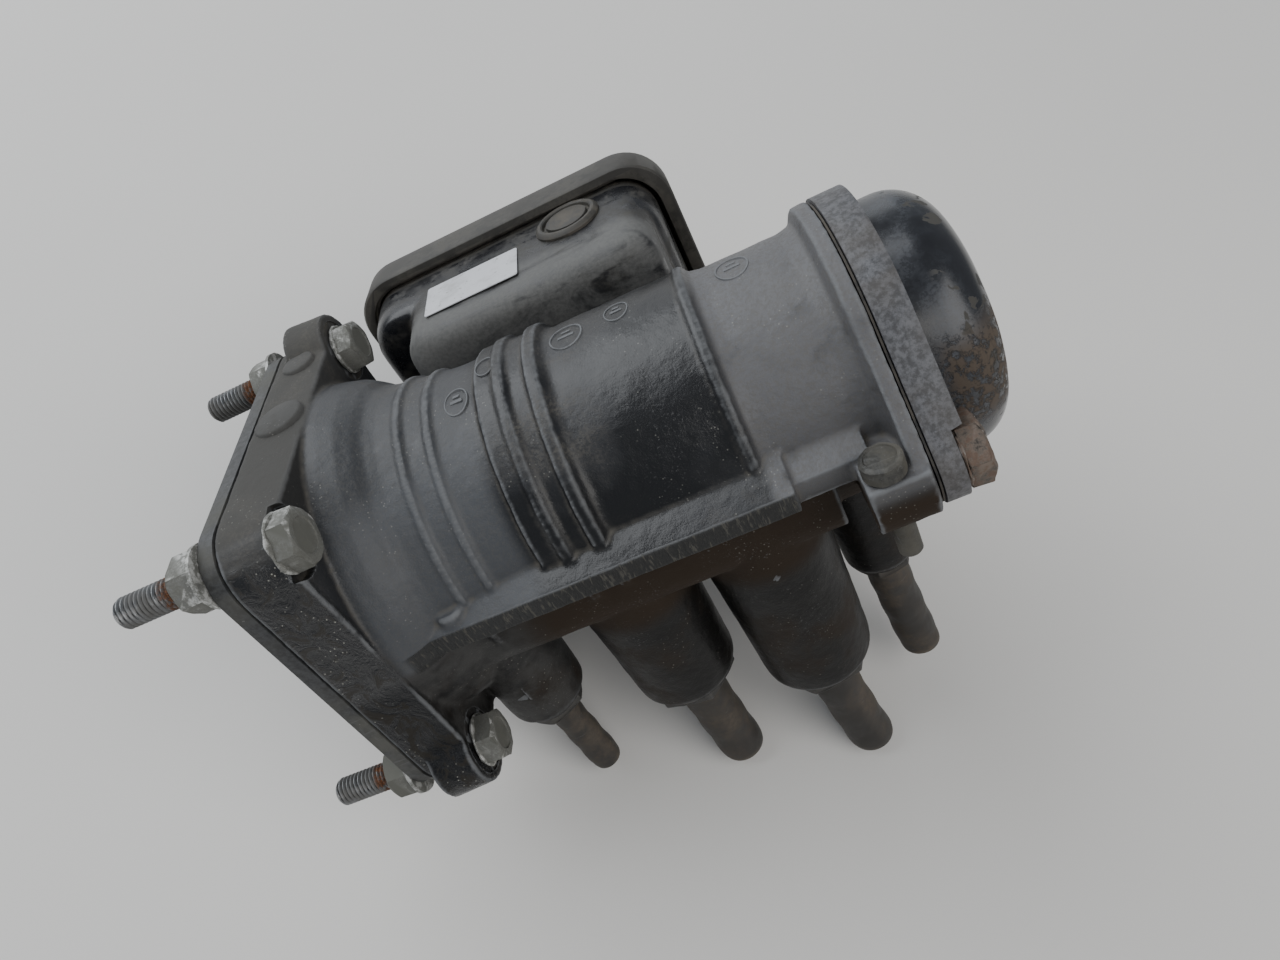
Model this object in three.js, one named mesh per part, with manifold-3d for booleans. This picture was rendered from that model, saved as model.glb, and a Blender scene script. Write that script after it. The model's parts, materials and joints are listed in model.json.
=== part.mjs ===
// Electro-pneumatic foot brake valve of a lorry, taken off the vehicle and lying on a flat surface.
// Valve frame, millimetres: x runs along the valve from the outer face of the mounting plate to the
// domed end, y is the way the ports point, z points at the electronics housing.
// The whole valve is then turned into the pose in which it lies: +Z up, origin under its middle.
import * as THREE from 'three';
import { mergeVertices } from 'three/addons/utils/BufferGeometryUtils.js';
import Module from 'manifold-3d';

const wasm = await Module();
wasm.setup();

// ---- driving dimensions -------------------------------------------------------------------
const GAP = 0.3; // left between pieces that touch
const REST_PITCH = THREE.MathUtils.degToRad(19.0); // valve axis above the surface, domed end up
const REST_ROLL = THREE.MathUtils.degToRad(26.2); // turn of the ports away from straight down

const PLATE_SIDE = 100;
const PLATE_THICK = 4;
const CORNER_R = 13;
const FLANGE_END = 20; // x of the body flange's inner face
const BOLT_HALF = 42.6; // half the side of the square of mounting bolts
const BOLT_R = 4; // M8
const BOLT_TIP = -26; // x where the mounting bolts end
const NUT_HEIGHT = 8;
const HEX_M8 = 7.5; // across-corner radius of an M8 hexagon
const HEAD_M8 = 6;

const BODY_END = 156.6; // x of the face that the end flange closes
const LEFT_BORE = 30; // radius of the plunger and primary piston bore
const RIGHT_BORE = 28; // radius of the relay piston bore
const WALL_START = 78; // partition between the two circuits
const WALL_END = 84;
const SEAT_R = 11;

const LEDGE_REACH = 45.2; // how far the parting flange stands from the axis
const LEDGE_THICK = 5;
const LUG_R = 10; // end flange lugs
const LUG_Y = 7.2;
const LUG_Z = 43.4;
const LUG_SEAT = 2.7; // how much lower the lugs are than the rest of the end flange
const LUG_SCREW = { x: 147, z: -48.5 };
const END_FLANGE_R = 39.8;
const END_FLANGE_START = 157.2;
const END_FLANGE_END = 166;
const DOME_R = 34.8;
const DOME_END = 186.5;

const PLUNGER_R = 8;

// Ports: place along the valve, offset across it, reach from the axis, boss and pipe radii.
const PORTS = [
  { name: '1', x: 113.4, z: -20, reach: 85, boss: 17, pipe: 7.4, stub: 43.8, lean: 4 },
  { name: '2', x: 75.2, z: -20, reach: 71, boss: 16, pipe: 7.4, stub: 42.3, lean: 2 },
  { name: '3', x: 33.5, z: -20, reach: 60, boss: 12.5, pipe: 5, stub: 35.5, lean: 2 },
  { name: '4', x: 142.4, z: -2, reach: 74, boss: 11, pipe: 6.6, stub: 44, lean: 2 },
];
const SOCKET_DEPTH = 24;

const BOX = { x0: 22, x1: 121, y0: -41, y1: 36, z0: 51, z1: 73.5, r: 12 };
const PAD_Z = 41.5; // flat on the body that the electronics housing stands on
const FOOT = { x0: 37, x1: 118, y0: -40, y1: 30, z0: 32, r: 8 }; // lower block, wrapping the body
const LID = { x0: 17.5, x1: 126.5, y0: -45.5, y1: 44.6, z1: 88.5, r: 15 };
const BOX_WALL = 2.5;
const PLUG = { x: 94.5, z: 62 }; // round plug in the housing's side
const SOCKET = { x: 62, z: 60.5 }; // electrical socket in the opposite side

// ---- colours ------------------------------------------------------------------------------
const finish = (color, roughness, metalness) =>
  new THREE.MeshStandardMaterial({ color, roughness, metalness });
const castBlack = () => finish(0x2b2c2e, 0.5, 0.3);
const pressedBlack = () => finish(0x1b1c1e, 0.25, 0.4);
const zinc = () => finish(0x8d8f8d, 0.45, 0.85);
const wornSteel = () => finish(0x55554d, 0.6, 0.7);
const rustySteel = () => finish(0x6b4a35, 0.8, 0.4);
const darkRubber = () => finish(0x151515, 0.85, 0.0);
const pipeBlack = () => finish(0x202021, 0.6, 0.0);
const boxPlastic = () => finish(0x32322f, 0.55, 0.0);
const springSteel = () => finish(0x77797c, 0.35, 0.9);
const brass = () => finish(0xa98b4a, 0.4, 0.9);
const aluminium = () => finish(0xa9abad, 0.4, 0.9);

// ---- solids -------------------------------------------------------------------------------
function toSolid(geometry) {
  geometry.deleteAttribute('normal');
  geometry.deleteAttribute('uv');
  const merged = mergeVertices(geometry, 1e-4);
  return new wasm.Manifold(new wasm.Mesh({
    numProp: 3,
    vertProperties: new Float32Array(merged.attributes.position.array),
    triVerts: new Uint32Array(merged.index.array),
  }));
}

function toGeometry(solid) {
  const mesh = solid.getMesh();
  const geometry = new THREE.BufferGeometry();
  geometry.setAttribute('position', new THREE.BufferAttribute(mesh.vertProperties, 3));
  geometry.setIndex(new THREE.BufferAttribute(mesh.triVerts, 1));
  return geometry;
}

const join = (first, ...rest) => rest.reduce((sum, solid) => sum.add(solid), first);
const cut = (first, ...rest) => rest.reduce((left, solid) => left.subtract(solid), first);

// A turned solid about x: pairs are [x, radius], given once round the section.
function turned(pairs, sides = 20) {
  const profile = pairs.map(([x, r]) => new THREE.Vector2(r, x));
  profile.push(profile[0].clone());
  const geometry = new THREE.LatheGeometry(profile, sides);
  geometry.rotateZ(-Math.PI / 2);
  return toSolid(geometry);
}

const rod = (x0, x1, r, sides = 20) => turned([[x0, 0], [x0, r], [x1, r], [x1, 0]], sides);
const ring = (x0, x1, inner, outer, sides = 20) =>
  turned([[x0, inner], [x0, outer], [x1, outer], [x1, inner]], sides);

// The same, about y through (x, z).
function turnedY(pairs, x, z, sides = 16) {
  const profile = pairs.map(([y, r]) => new THREE.Vector2(r, y));
  profile.push(profile[0].clone());
  const geometry = new THREE.LatheGeometry(profile, sides);
  geometry.translate(x, 0, z);
  return toSolid(geometry);
}

const rodY = (y0, y1, r, x, z, sides = 16) =>
  turnedY([[y0, 0], [y0, r], [y1, r], [y1, 0]], x, z, sides);

// A rod along z, centred on the z axis.
function rodZ(z0, z1, r, sides) {
  const geometry = new THREE.CylinderGeometry(r, r, z1 - z0, sides);
  geometry.rotateX(Math.PI / 2);
  geometry.translate(0, 0, (z0 + z1) / 2);
  return toSolid(geometry);
}

function block(x0, x1, y0, y1, z0, z1) {
  const geometry = new THREE.BoxGeometry(x1 - x0, y1 - y0, z1 - z0);
  geometry.translate((x0 + x1) / 2, (y0 + y1) / 2, (z0 + z1) / 2);
  return toSolid(geometry);
}

// An outline in (y, z), drawn as a three.js shape, carried from x0 to x1.
function alongX(shape, x0, x1, curveSegments = 3) {
  const geometry = new THREE.ExtrudeGeometry(shape, { depth: x1 - x0, bevelEnabled: false, curveSegments });
  geometry.applyMatrix4(new THREE.Matrix4().makeBasis(
    new THREE.Vector3(0, 1, 0), new THREE.Vector3(0, 0, 1), new THREE.Vector3(1, 0, 0)));
  geometry.translate(x0, 0, 0);
  return toSolid(geometry);
}

// An outline in (x, y) carried from z0 to z1.
function alongZ(shape, z0, z1, curveSegments = 4) {
  const geometry = new THREE.ExtrudeGeometry(shape, { depth: z1 - z0, bevelEnabled: false, curveSegments });
  geometry.translate(0, 0, z0);
  return toSolid(geometry);
}

function roundedRect(u0, u1, v0, v1, r) {
  const shape = new THREE.Shape();
  shape.moveTo(u0 + r, v0);
  shape.lineTo(u1 - r, v0);
  shape.absarc(u1 - r, v0 + r, r, -Math.PI / 2, 0);
  shape.lineTo(u1, v1 - r);
  shape.absarc(u1 - r, v1 - r, r, 0, Math.PI / 2);
  shape.lineTo(u0 + r, v1);
  shape.absarc(u0 + r, v1 - r, r, Math.PI / 2, Math.PI);
  shape.lineTo(u0, v0 + r);
  shape.absarc(u0 + r, v0 + r, r, Math.PI, 1.5 * Math.PI);
  return shape;
}

function polygon(points) {
  return new THREE.Shape(points.map(([u, v]) => new THREE.Vector2(u, v)));
}

function hexagon(corner) {
  const points = [];
  for (let i = 0; i < 6; i += 1) {
    const turn = (i * Math.PI) / 3;
    points.push([corner * Math.cos(turn), corner * Math.sin(turn)]);
  }
  return polygon(points);
}

// A round wire wound about x from x0 to x1.
class Coil extends THREE.Curve {
  constructor(x0, x1, radius, turns) {
    super();
    Object.assign(this, { x0, x1, radius, turns });
  }

  getPoint(t, target = new THREE.Vector3()) {
    const turn = 2 * Math.PI * this.turns * t;
    return target.set(
      THREE.MathUtils.lerp(this.x0, this.x1, t), this.radius * Math.cos(turn), this.radius * Math.sin(turn));
  }
}

function spring(x0, x1, radius, wire, turns) {
  const section = new THREE.Shape();
  section.absarc(0, 0, wire, 0, 2 * Math.PI);
  const path = new Coil(x0 + wire, x1 - wire, radius, turns);
  return toSolid(new THREE.ExtrudeGeometry(section, { steps: turns * 8, curveSegments: 2, extrudePath: path }));
}

// ---- the assembly -------------------------------------------------------------------------
const valve = new THREE.Group();

function add(name, solid, material, position = [0, 0, 0]) {
  const mesh = new THREE.Mesh(toGeometry(solid), material);
  mesh.name = name;
  mesh.position.set(...position);
  valve.add(mesh);
  return mesh;
}

const boltPlaces = [
  ['a', -BOLT_HALF, BOLT_HALF],
  ['b', -BOLT_HALF, -BOLT_HALF],
  ['c', BOLT_HALF, -BOLT_HALF],
  ['d', BOLT_HALF, BOLT_HALF],
];
const lugPlaces = [-LUG_Z, LUG_Z];
const boltHoles = (x0, x1, r) =>
  boltPlaces.map(([, y, z]) => rod(x0, x1, r, 12).translate([0, y, z]));
const lugHoles = (x0, x1, r) => lugPlaces.map((z) => rod(x0, x1, r, 16).translate([0, LUG_Y, z]));

// Outline of the end flange: a disc with two round lugs, joined to it by tangent lines.
function lugOutline(discR, lugR) {
  const lean = Math.atan2(LUG_Y, LUG_Z);
  const open = Math.acos((discR - lugR) / Math.hypot(LUG_Y, LUG_Z));
  const shape = new THREE.Shape();
  const right = lean;
  const left = Math.PI - lean;
  const arc = (cu, cv, r, from, to, count) => {
    const points = [];
    for (let i = 0; i <= count; i += 1) {
      const turn = from + ((to - from) * i) / count;
      points.push(new THREE.Vector2(cu + r * Math.cos(turn), cv + r * Math.sin(turn)));
    }
    return points;
  };
  // Drawn with z across and y up, then swapped to (y, z).
  const outline = [
    ...arc(LUG_Z, LUG_Y, lugR, right - open, right + open, 5),
    ...arc(0, 0, discR, right + open, left - open, 3),
    ...arc(-LUG_Z, LUG_Y, lugR, left - open, left + open, 5),
    ...arc(0, 0, discR, left + open, 2 * Math.PI + right - open, 16),
  ];
  shape.setFromPoints(outline.map((p) => new THREE.Vector2(p.y, p.x)).reverse());
  return shape;
}

function makeBody() {
  const outside = turned([
    [FLANGE_END - 2, 0], [FLANGE_END - 2, 47.5], [28, 45.5], [30.5, 44.8], [34, 41.8], [42, 40.2],
    [63.4, 38.2], [64.2, 39.6], [80.4, 39.2], [81.4, 37.8], [121.4, 37.6], [122.4, 35.6],
    [150.6, 35.4], [153, 36.4], [153, 0],
  ], 32);
  const flange = alongX(
    roundedRect(-PLATE_SIDE / 2, PLATE_SIDE / 2, -PLATE_SIDE / 2, PLATE_SIDE / 2, CORNER_R),
    PLATE_THICK + GAP, FLANGE_END);
  const ledge = alongX(polygon([
    [-7, -28], [-4.6, -37], [-0.6, -LEDGE_REACH], [LEDGE_THICK, -LEDGE_REACH], [LEDGE_THICK, -28],
  ]), 18, 127);
  const thinLedge = alongX(polygon([
    [-7, -26], [-4, -35], [-1, -42.2], [LEDGE_THICK, -42.2], [LEDGE_THICK, -26],
  ]), 120, 145);
  const endLugs = alongX(lugOutline(END_FLANGE_R, LUG_R), 152.8, BODY_END);
  const nearLug = join(
    alongX(roundedRect(0.5, LUG_Y + LUG_R, -LUG_Z - LUG_R, -30, 7), 141.5, BODY_END - 1),
    block(141.5, BODY_END, 0, 8, -53.4, -34));
  const farLug = rod(146, BODY_END - 1, LUG_R, 14).translate([0, LUG_Y, LUG_Z]);
  const farWeb = block(140, BODY_END - 1, -1, 15, 25, 42);
  const portBlock = alongX(roundedRect(-6, 26, -38.5, 30, 9), 19, 136);
  const bosses = PORTS.map((port) => turnedY([
    [0, 0], [0, port.boss + 2], [port.reach - 3, port.boss], [port.reach, port.boss - 1.6], [port.reach, 0],
  ], port.x, port.z, 18));
  const portWeb = block(126, 148, 0, 24, -24, 12);
  const boxPad = block(38, 116, -22, 22, 24, PAD_Z);
  const roundBoss = rodY(-4.5, 2, 4.2, 37.5, -40, 12);
  const sideDiscs = [
    turnedY([[-50.8, 0], [-50.8, 7], [-48, 7], [-48, 0]], 12, 4, 14),
    turnedY([[-50.6, 0], [-50.6, 5], [-48, 5], [-48, 0]], 12, 30, 12),
  ];
  const solidBody = join(outside, flange, ledge, thinLedge, endLugs, nearLug, farLug, farWeb, portBlock,
    ...bosses, portWeb, boxPad, roundBoss, ...sideDiscs);

  const bores = [
    rod(0, WALL_START, LEFT_BORE, 24),
    rod(WALL_START - 1, WALL_END + 1, SEAT_R, 16),
    rod(WALL_END, BODY_END + 1, RIGHT_BORE, 24),
  ];
  const sockets = PORTS.map((port) => join(
    rodY(port.reach - SOCKET_DEPTH, port.reach + 1, port.boss - 3, port.x, port.z, 16),
    rodY(10, port.reach - SOCKET_DEPTH + 1, port.pipe - 1.5, port.x, port.z, 8)));
  const headPocket = rod(FLANGE_END - 2, FLANGE_END + 8, 9.2, 14).translate([0, -BOLT_HALF, -BOLT_HALF]);
  const otherPockets = boltPlaces.filter(([key]) => key !== 'b')
    .map(([, y, z]) => rod(FLANGE_END, FLANGE_END + 12, 9.2, 14).translate([0, y, z]));
  const screwHole = rodY(-2, 30, 3.3, LUG_SCREW.x, LUG_SCREW.z, 12);
  return cut(solidBody, ...bores, ...sockets, headPocket, ...otherPockets, screwHole,
    ...boltHoles(0, FLANGE_END + 1, BOLT_R + GAP), ...lugHoles(150.5, BODY_END + 1, 5 + GAP));
}

function makePlate() {
  const side = PLATE_SIDE / 2;
  const sheet = alongX(roundedRect(-side, side, -side, side, CORNER_R), 0, PLATE_THICK);
  return cut(sheet, rod(-1, PLATE_THICK + 1, 15), ...boltHoles(-1, PLATE_THICK + 1, BOLT_R + GAP));
}

// M8 bolt along -x, under-head face at x = 0.
function makeFlangeBolt(length) {
  const head = turned([[0, 0], [0, 7.4], [0.8, 7.4], [0.8, 0]], 16);
  const hex = alongX(hexagon(HEX_M8), 0.5, HEAD_M8);
  const shank = rod(-length, 0.5, BOLT_R, 14);
  return join(hex, head, shank);
}

function makeNut(height, corner, holeR) {
  const hex = alongX(hexagon(corner), 0, height - 1.2);
  const washer = rod(height - 1.6, height, corner + 0.6, 20);
  return cut(join(hex, washer), rod(-1, height + 1, holeR, 14));
}

function makeFasteners() {
  for (const [key, y, z] of boltPlaces) {
    const seat = key === 'b' ? FLANGE_END - 2 : FLANGE_END;
    add(`flange_bolt_${key}`, makeFlangeBolt(seat + GAP - BOLT_TIP), zinc(), [seat + GAP, y, z]);
    add(`flange_nut_${key}`, makeNut(NUT_HEIGHT, HEX_M8, BOLT_R + GAP), wornSteel(),
      [-NUT_HEIGHT - GAP, y, z]);
  }
  lugPlaces.forEach((z, i) => {
    const seat = END_FLANGE_END - LUG_SEAT + GAP;
    const bolt = join(
      alongX(hexagon(9.2), seat + 0.8, seat + 6.6),
      rod(seat, seat + 1, 9, 16),
      rod(151.5, seat + 0.5, 5, 14));
    add(`end_flange_bolt_${i + 1}`, bolt.translate([0, LUG_Y, z]), rustySteel());
  });
  const lugScrew = join(
    turnedY([[-5, 0], [-5, 4.4], [-4.4, 5.2], [-0.4, 5.2], [-0.4, 0]], LUG_SCREW.x, LUG_SCREW.z, 12),
    rodY(-1, 26, 3, LUG_SCREW.x, LUG_SCREW.z, 12));
  add('lug_screw', lugScrew, wornSteel());
}

function makeEndCap() {
  const outline = lugOutline(END_FLANGE_R + 0.4, LUG_R);
  const plate = alongX(outline, END_FLANGE_START + 0.5, END_FLANGE_END);
  const seats = lugPlaces.map((z) =>
    rod(END_FLANGE_END - LUG_SEAT, END_FLANGE_END + 1, LUG_R + 2, 18).translate([0, LUG_Y, z]));
  const keep = ring(END_FLANGE_END - 5, END_FLANGE_END, DOME_R + GAP, DOME_R + 3.2, 28);
  const flange = cut(join(cut(plate, ...seats), keep),
    rod(0, 200, DOME_R + GAP, 28),
    rod(0, END_FLANGE_START + 3, DOME_R + 2.8, 28),
    ...lugHoles(150, 175, 5 + GAP));
  const headRoom = lugPlaces.map((z) =>
    rod(END_FLANGE_END - LUG_SEAT, END_FLANGE_END + 1, 9.7, 14).translate([0, LUG_Y, z]));
  add('end_flange', cut(flange, ...headRoom), castBlack());

  const x0 = END_FLANGE_START + 0.5;
  const outer = [[x0, DOME_R + 2.4], [x0 + 2, DOME_R + 2.4], [x0 + 2.4, DOME_R]];
  const inner = [[x0, DOME_R - 2.2]];
  const bend = 13;
  const count = 4;
  for (let i = 0; i <= count; i += 1) {
    const turn = (i / count) * (Math.PI / 2);
    const reach = DOME_END - 1.4 - bend;
    outer.push([reach + bend * Math.sin(turn), DOME_R - bend + bend * Math.cos(turn)]);
    inner.push([reach + (bend - 2.2) * Math.sin(turn), DOME_R - bend + (bend - 2.2) * Math.cos(turn)]);
  }
  outer.push([DOME_END, 8], [DOME_END, 0]);
  inner.push([DOME_END - 2.2, 8], [DOME_END - 2.2, 0]);
  add('dome_cap', turned([...outer, ...inner.reverse()], 28), pressedBlack());

  const gasket = alongX(lugOutline(END_FLANGE_R - 0.6, LUG_R - 0.6), BODY_END + GAP, END_FLANGE_START + 0.2);
  add('end_gasket', cut(gasket, rod(0, 200, RIGHT_BORE + 1), ...lugHoles(150, 175, 5.6)), darkRubber());
}

function makePorts() {
  for (const port of PORTS) {
    const socketR = port.boss - 3;
    const bottom = port.reach - SOCKET_DEPTH + GAP;
    const fitting = turnedY([
      [bottom, port.pipe - 2], [bottom, socketR - GAP], [port.reach + 0.4, socketR - GAP],
      [port.reach + 0.4, socketR + 0.8], [port.reach + 3, socketR + 0.2], [port.reach + 3, port.pipe + GAP],
      [bottom + 6, port.pipe + GAP], [bottom + 6, port.pipe - 2],
    ], 0, 0, 16);
    add(`port_fitting_${port.name}`, fitting, brass(), [port.x, 0, port.z]);

    const from = new THREE.Vector3(0, bottom + 6 + GAP, 0);
    const bendAt = new THREE.Vector3(0, port.reach + 4, 0);
    const middle = new THREE.Vector3(port.lean * 0.3, port.reach + port.stub * 0.55, -port.lean * 0.3);
    const end = new THREE.Vector3(port.lean, port.reach + port.stub, -port.lean * 0.9);
    const path = new THREE.CatmullRomCurve3([from, bendAt, middle, end]);
    const section = new THREE.Shape();
    section.absarc(0, 0, port.pipe, 0, 2 * Math.PI);
    const hole = new THREE.Path();
    hole.absarc(0, 0, port.pipe - 1.8, 0, 2 * Math.PI);
    section.holes.push(hole);
    const pipe = toSolid(new THREE.ExtrudeGeometry(section, { steps: 5, curveSegments: 6, extrudePath: path }));
    add(`pipe_stub_${port.name}`, pipe, pipeBlack(), [port.x, 0, port.z]);
  }
}

function makePlungerGroup() {
  const bush = cut(join(ring(-2.5, 22, PLUNGER_R + GAP, 14.6), ring(-2.5, -GAP, PLUNGER_R + GAP, 19)),
    rod(-3, 23, PLUNGER_R + GAP));
  add('plunger_bush', bush, brass());
  const plunger = turned([
    [-24, 0], [-24, 6], [-22.5, 9], [-20, 11], [-15.5, 11], [-15.5, PLUNGER_R], [24.4, PLUNGER_R],
    [24.4, 22], [28, 22], [28, 10], [31, 9], [31, 0],
  ]);
  add('plunger', plunger, aluminium());
  const boot = turned([
    [-15, 11.6], [-15, 13], [-12.6, 16], [-10, 13.6], [-7, 18], [-3, 19], [-3, 17.6], [-6.4, 16.6],
    [-9.6, 12.2], [-12.6, 14.4], [-14, 11.6],
  ], 20);
  add('dust_boot', boot, darkRubber());
  const piston = turned([
    [44.8, 0], [44.8, 10], [47, 10], [47, 29.4], [51, 29.4], [51, 27.6], [54, 27.6], [54, 29.4], [58, 29.4],
    [58, 6], [81, 6], [81, 0],
  ]);
  add('primary_piston', piston, aluminium());
  add('primary_piston_seal', ring(51.3, 53.7, 27.9, 29.7), darkRubber());
  add('graduating_spring', spring(28.4, 46.6, 17, 2, 3), springSteel());
  add('primary_return_spring', spring(58.4, WALL_START - GAP, 16, 1.4, 4), springSteel());
}

function makeInnerValves() {
  const disc = (x) => turned([[x, 0], [x, 13.5], [x + 3, 13.5], [x + 3, 7], [x + 8, 7], [x + 8, 0]], 16);
  add('primary_inlet_valve', disc(WALL_END + GAP), darkRubber());
  add('primary_valve_spring', spring(WALL_END + 3.7, 100.6, 10.5, 1, 4), springSteel());
  const relay = turned([
    [101, 4.5], [101, 14], [104, 14], [104, 27.4], [107, 27.4], [107, 25.6], [110, 25.6], [110, 27.4],
    [114, 27.4], [114, 6], [128, 6], [128, 4.5],
  ]);
  add('relay_piston', relay, aluminium());
  add('relay_piston_seal', ring(107.3, 109.7, 25.9, 27.7), darkRubber());
  add('relay_return_spring', spring(114.4, 130.6, 19, 1.4, 4), springSteel());
  const carrier = cut(turned([
    [131, 9], [131, 27.7], [138, 27.7], [138, 20], [155, 20], [155, 9],
  ]), rod(149, 156, 14));
  add('valve_carrier', carrier, aluminium());
  const poppet = turned([
    [129.6, 0], [129.6, 8], [136, 8], [136, 5], [156, 5], [156, 0],
  ], 16);
  add('secondary_inlet_valve', poppet, darkRubber());
  add('secondary_valve_spring', spring(149.6, DOME_END - 2.8, 11.5, 1.3, 5), springSteel());
  const ringClip = ring(152, 154, 20.4, 27.6);
  add('retaining_ring', cut(ringClip, block(151, 155, 18, 30, -5, 5)), springSteel());
}

function makeElectronics() {
  const { x0, x1, y0, y1, z0, z1, r } = BOX;
  const outer = alongZ(roundedRect(x0, x1, y0, y1, r), z0, z1);
  const foot = cut(
    alongZ(roundedRect(FOOT.x0, FOOT.x1, FOOT.y0, FOOT.y1, FOOT.r), FOOT.z0, z0 + 1),
    rod(FOOT.x0 - 1, 64, 41.8, 32),
    rod(63, FOOT.x1 + 1, 40, 32),
    block(FOOT.x0 - 1, FOOT.x1 + 1, -22 - GAP, FOOT.y1 + 1, FOOT.z0 - 1, PAD_Z + GAP));
  const inner = alongZ(roundedRect(x0 + BOX_WALL, x1 - BOX_WALL, y0 + BOX_WALL, y1 - BOX_WALL, r - BOX_WALL),
    z0 + BOX_WALL, z1 + 1);
  const screwAt = [[43, -20], [109, -20], [43, 20], [109, 20]];
  const holes = screwAt.map(([x, y]) => rodZ(38, 58, 2.3, 12).translate([x, y, 0]));
  const plugHole = rodY(y0 - 1, y0 + 4, 8, PLUG.x, PLUG.z, 20);
  const socketHole = rodY(y1 - 4, y1 + 1, 9.4, SOCKET.x, SOCKET.z, 16);
  add('sensor_housing', cut(join(outer, foot), inner, ...holes, plugHole, socketHole), boxPlastic());

  const lidOuter = alongZ(roundedRect(LID.x0, LID.x1, LID.y0, LID.y1, LID.r), z1 - 1, LID.z1);
  const lidInner = alongZ(roundedRect(x0 - 1.2, x1 + 1.2, y0 - 1.2, y1 + 1.2, r + 1.2), z1 - 2, z1 + 2.2);
  const lidHollow = alongZ(roundedRect(LID.x0 + 4, LID.x1 - 4, LID.y0 + 4, LID.y1 - 4, LID.r - 4),
    z1 + 2, LID.z1 - BOX_WALL);
  add('housing_lid', cut(lidOuter, lidInner, lidHollow), boxPlastic());
  const sealOuter = alongZ(roundedRect(x0 + 0.2, x1 - 0.2, y0 + 0.2, y1 - 0.2, r), z1 + GAP, z1 + 1.9);
  const sealInner = alongZ(roundedRect(x0 + 2.4, x1 - 2.4, y0 + 2.4, y1 - 2.4, r - 2.4), z1, z1 + 3);
  add('lid_seal', cut(sealOuter, sealInner), darkRubber());

  const boardAt = 62;
  const board = alongZ(roundedRect(x0 + 6, x1 - 6, y0 + 6, y1 - 14, 4), boardAt, boardAt + 1.6);
  const boardScrews = [[31, -31], [112, -31], [31, 8], [112, 8]];
  const screwHoles = boardScrews.map(([x, y]) => rodZ(boardAt - 3, boardAt + 3, 1.8, 10).translate([x, y, 0]));
  add('circuit_board', cut(board, ...screwHoles), finish(0x1f5a35, 0.5, 0.1));
  boardScrews.forEach(([x, y], i) => {
    const screw = join(rodZ(-7.4, 1.6, 1.5, 10), rodZ(1.4, 3, 2.8, 12));
    add(`board_screw_${i + 1}`, screw, zinc(), [x, y, boardAt + 0.5]);
  });
  screwAt.forEach(([x, y], i) => {
    const screw = join(rodZ(-8, 0, 2, 12), rodZ(-0.1, 3.3, 3.6, 6));
    add(`housing_screw_${i + 1}`, screw, zinc(), [x, y, z0 + BOX_WALL + 0.4]);
  });
  const vent = turnedY([
    [y0 - 1.6, 0], [y0 - 1.6, 9], [y0 - 1, 10.4], [y0 - GAP, 10.4], [y0 - GAP, 7.6], [y0 + 4, 7.6], [y0 + 4, 0],
  ], 0, 0, 20);
  add('vent_plug', vent, boxPlastic(), [PLUG.x, 0, PLUG.z]);
  add('rating_label', block(46.8, 77.4, y0 - 0.6, y0 - GAP, 42, 60), finish(0xd9dadb, 0.4, 0.0));
  const socket = turnedY([
    [y1 - 3.6, 7], [y1 - 3.6, 9], [y1 + GAP, 9], [y1 + GAP, 11.6], [y1 + 2.5, 11.6], [y1 + 2.5, 10.6],
    [y1 + 16, 10.6], [y1 + 16, 8.6], [y1 + 4, 8.6], [y1 + 4, 0], [y1 + 1, 0], [y1 + 1, 7],
  ], 0, 0, 16);
  add('connector_socket', socket, pipeBlack(), [SOCKET.x, 0, SOCKET.z]);
}

add('valve_body', makeBody(), castBlack());
add('mounting_plate', makePlate(), castBlack());
makeFasteners();
makeEndCap();
makePorts();
makePlungerGroup();
makeInnerValves();
makeElectronics();

// ---- the pose in which it lies ------------------------------------------------------------
valve.rotation.x = -(Math.PI / 2 + REST_ROLL);
const lying = new THREE.Group();
lying.add(valve);
lying.rotation.y = -REST_PITCH;
lying.updateMatrixWorld(true);
const bounds = new THREE.Box3().setFromObject(lying, true);
const middle = bounds.getCenter(new THREE.Vector3());
lying.position.set(-middle.x, -middle.y, -bounds.min.z);

export default lying;
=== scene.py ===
"""Electro-pneumatic foot brake valve of a lorry, worn and dusty, lying on a pale floor.

Shapes are written in the valve's own frame, in millimetres: x along the valve from the outer face
of the mounting plate to the domed end, y the way the ports point, z towards the electronics housing.
"""

import json
import math

import bmesh
import bpy
from mathutils import Matrix, Vector, noise


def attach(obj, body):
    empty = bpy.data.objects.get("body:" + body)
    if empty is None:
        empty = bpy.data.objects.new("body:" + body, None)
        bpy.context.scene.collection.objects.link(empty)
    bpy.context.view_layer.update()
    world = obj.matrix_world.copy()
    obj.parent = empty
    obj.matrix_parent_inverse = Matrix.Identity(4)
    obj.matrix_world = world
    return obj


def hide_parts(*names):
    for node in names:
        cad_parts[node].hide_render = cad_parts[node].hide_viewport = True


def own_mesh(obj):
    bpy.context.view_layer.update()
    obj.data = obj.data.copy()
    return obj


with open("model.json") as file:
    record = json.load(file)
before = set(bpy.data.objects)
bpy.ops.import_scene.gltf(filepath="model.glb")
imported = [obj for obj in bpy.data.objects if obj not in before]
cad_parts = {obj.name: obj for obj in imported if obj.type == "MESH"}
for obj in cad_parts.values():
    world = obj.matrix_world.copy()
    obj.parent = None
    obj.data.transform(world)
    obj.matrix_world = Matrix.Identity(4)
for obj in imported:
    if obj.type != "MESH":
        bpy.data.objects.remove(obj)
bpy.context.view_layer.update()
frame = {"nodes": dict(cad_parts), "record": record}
MM = 0.001


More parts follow.
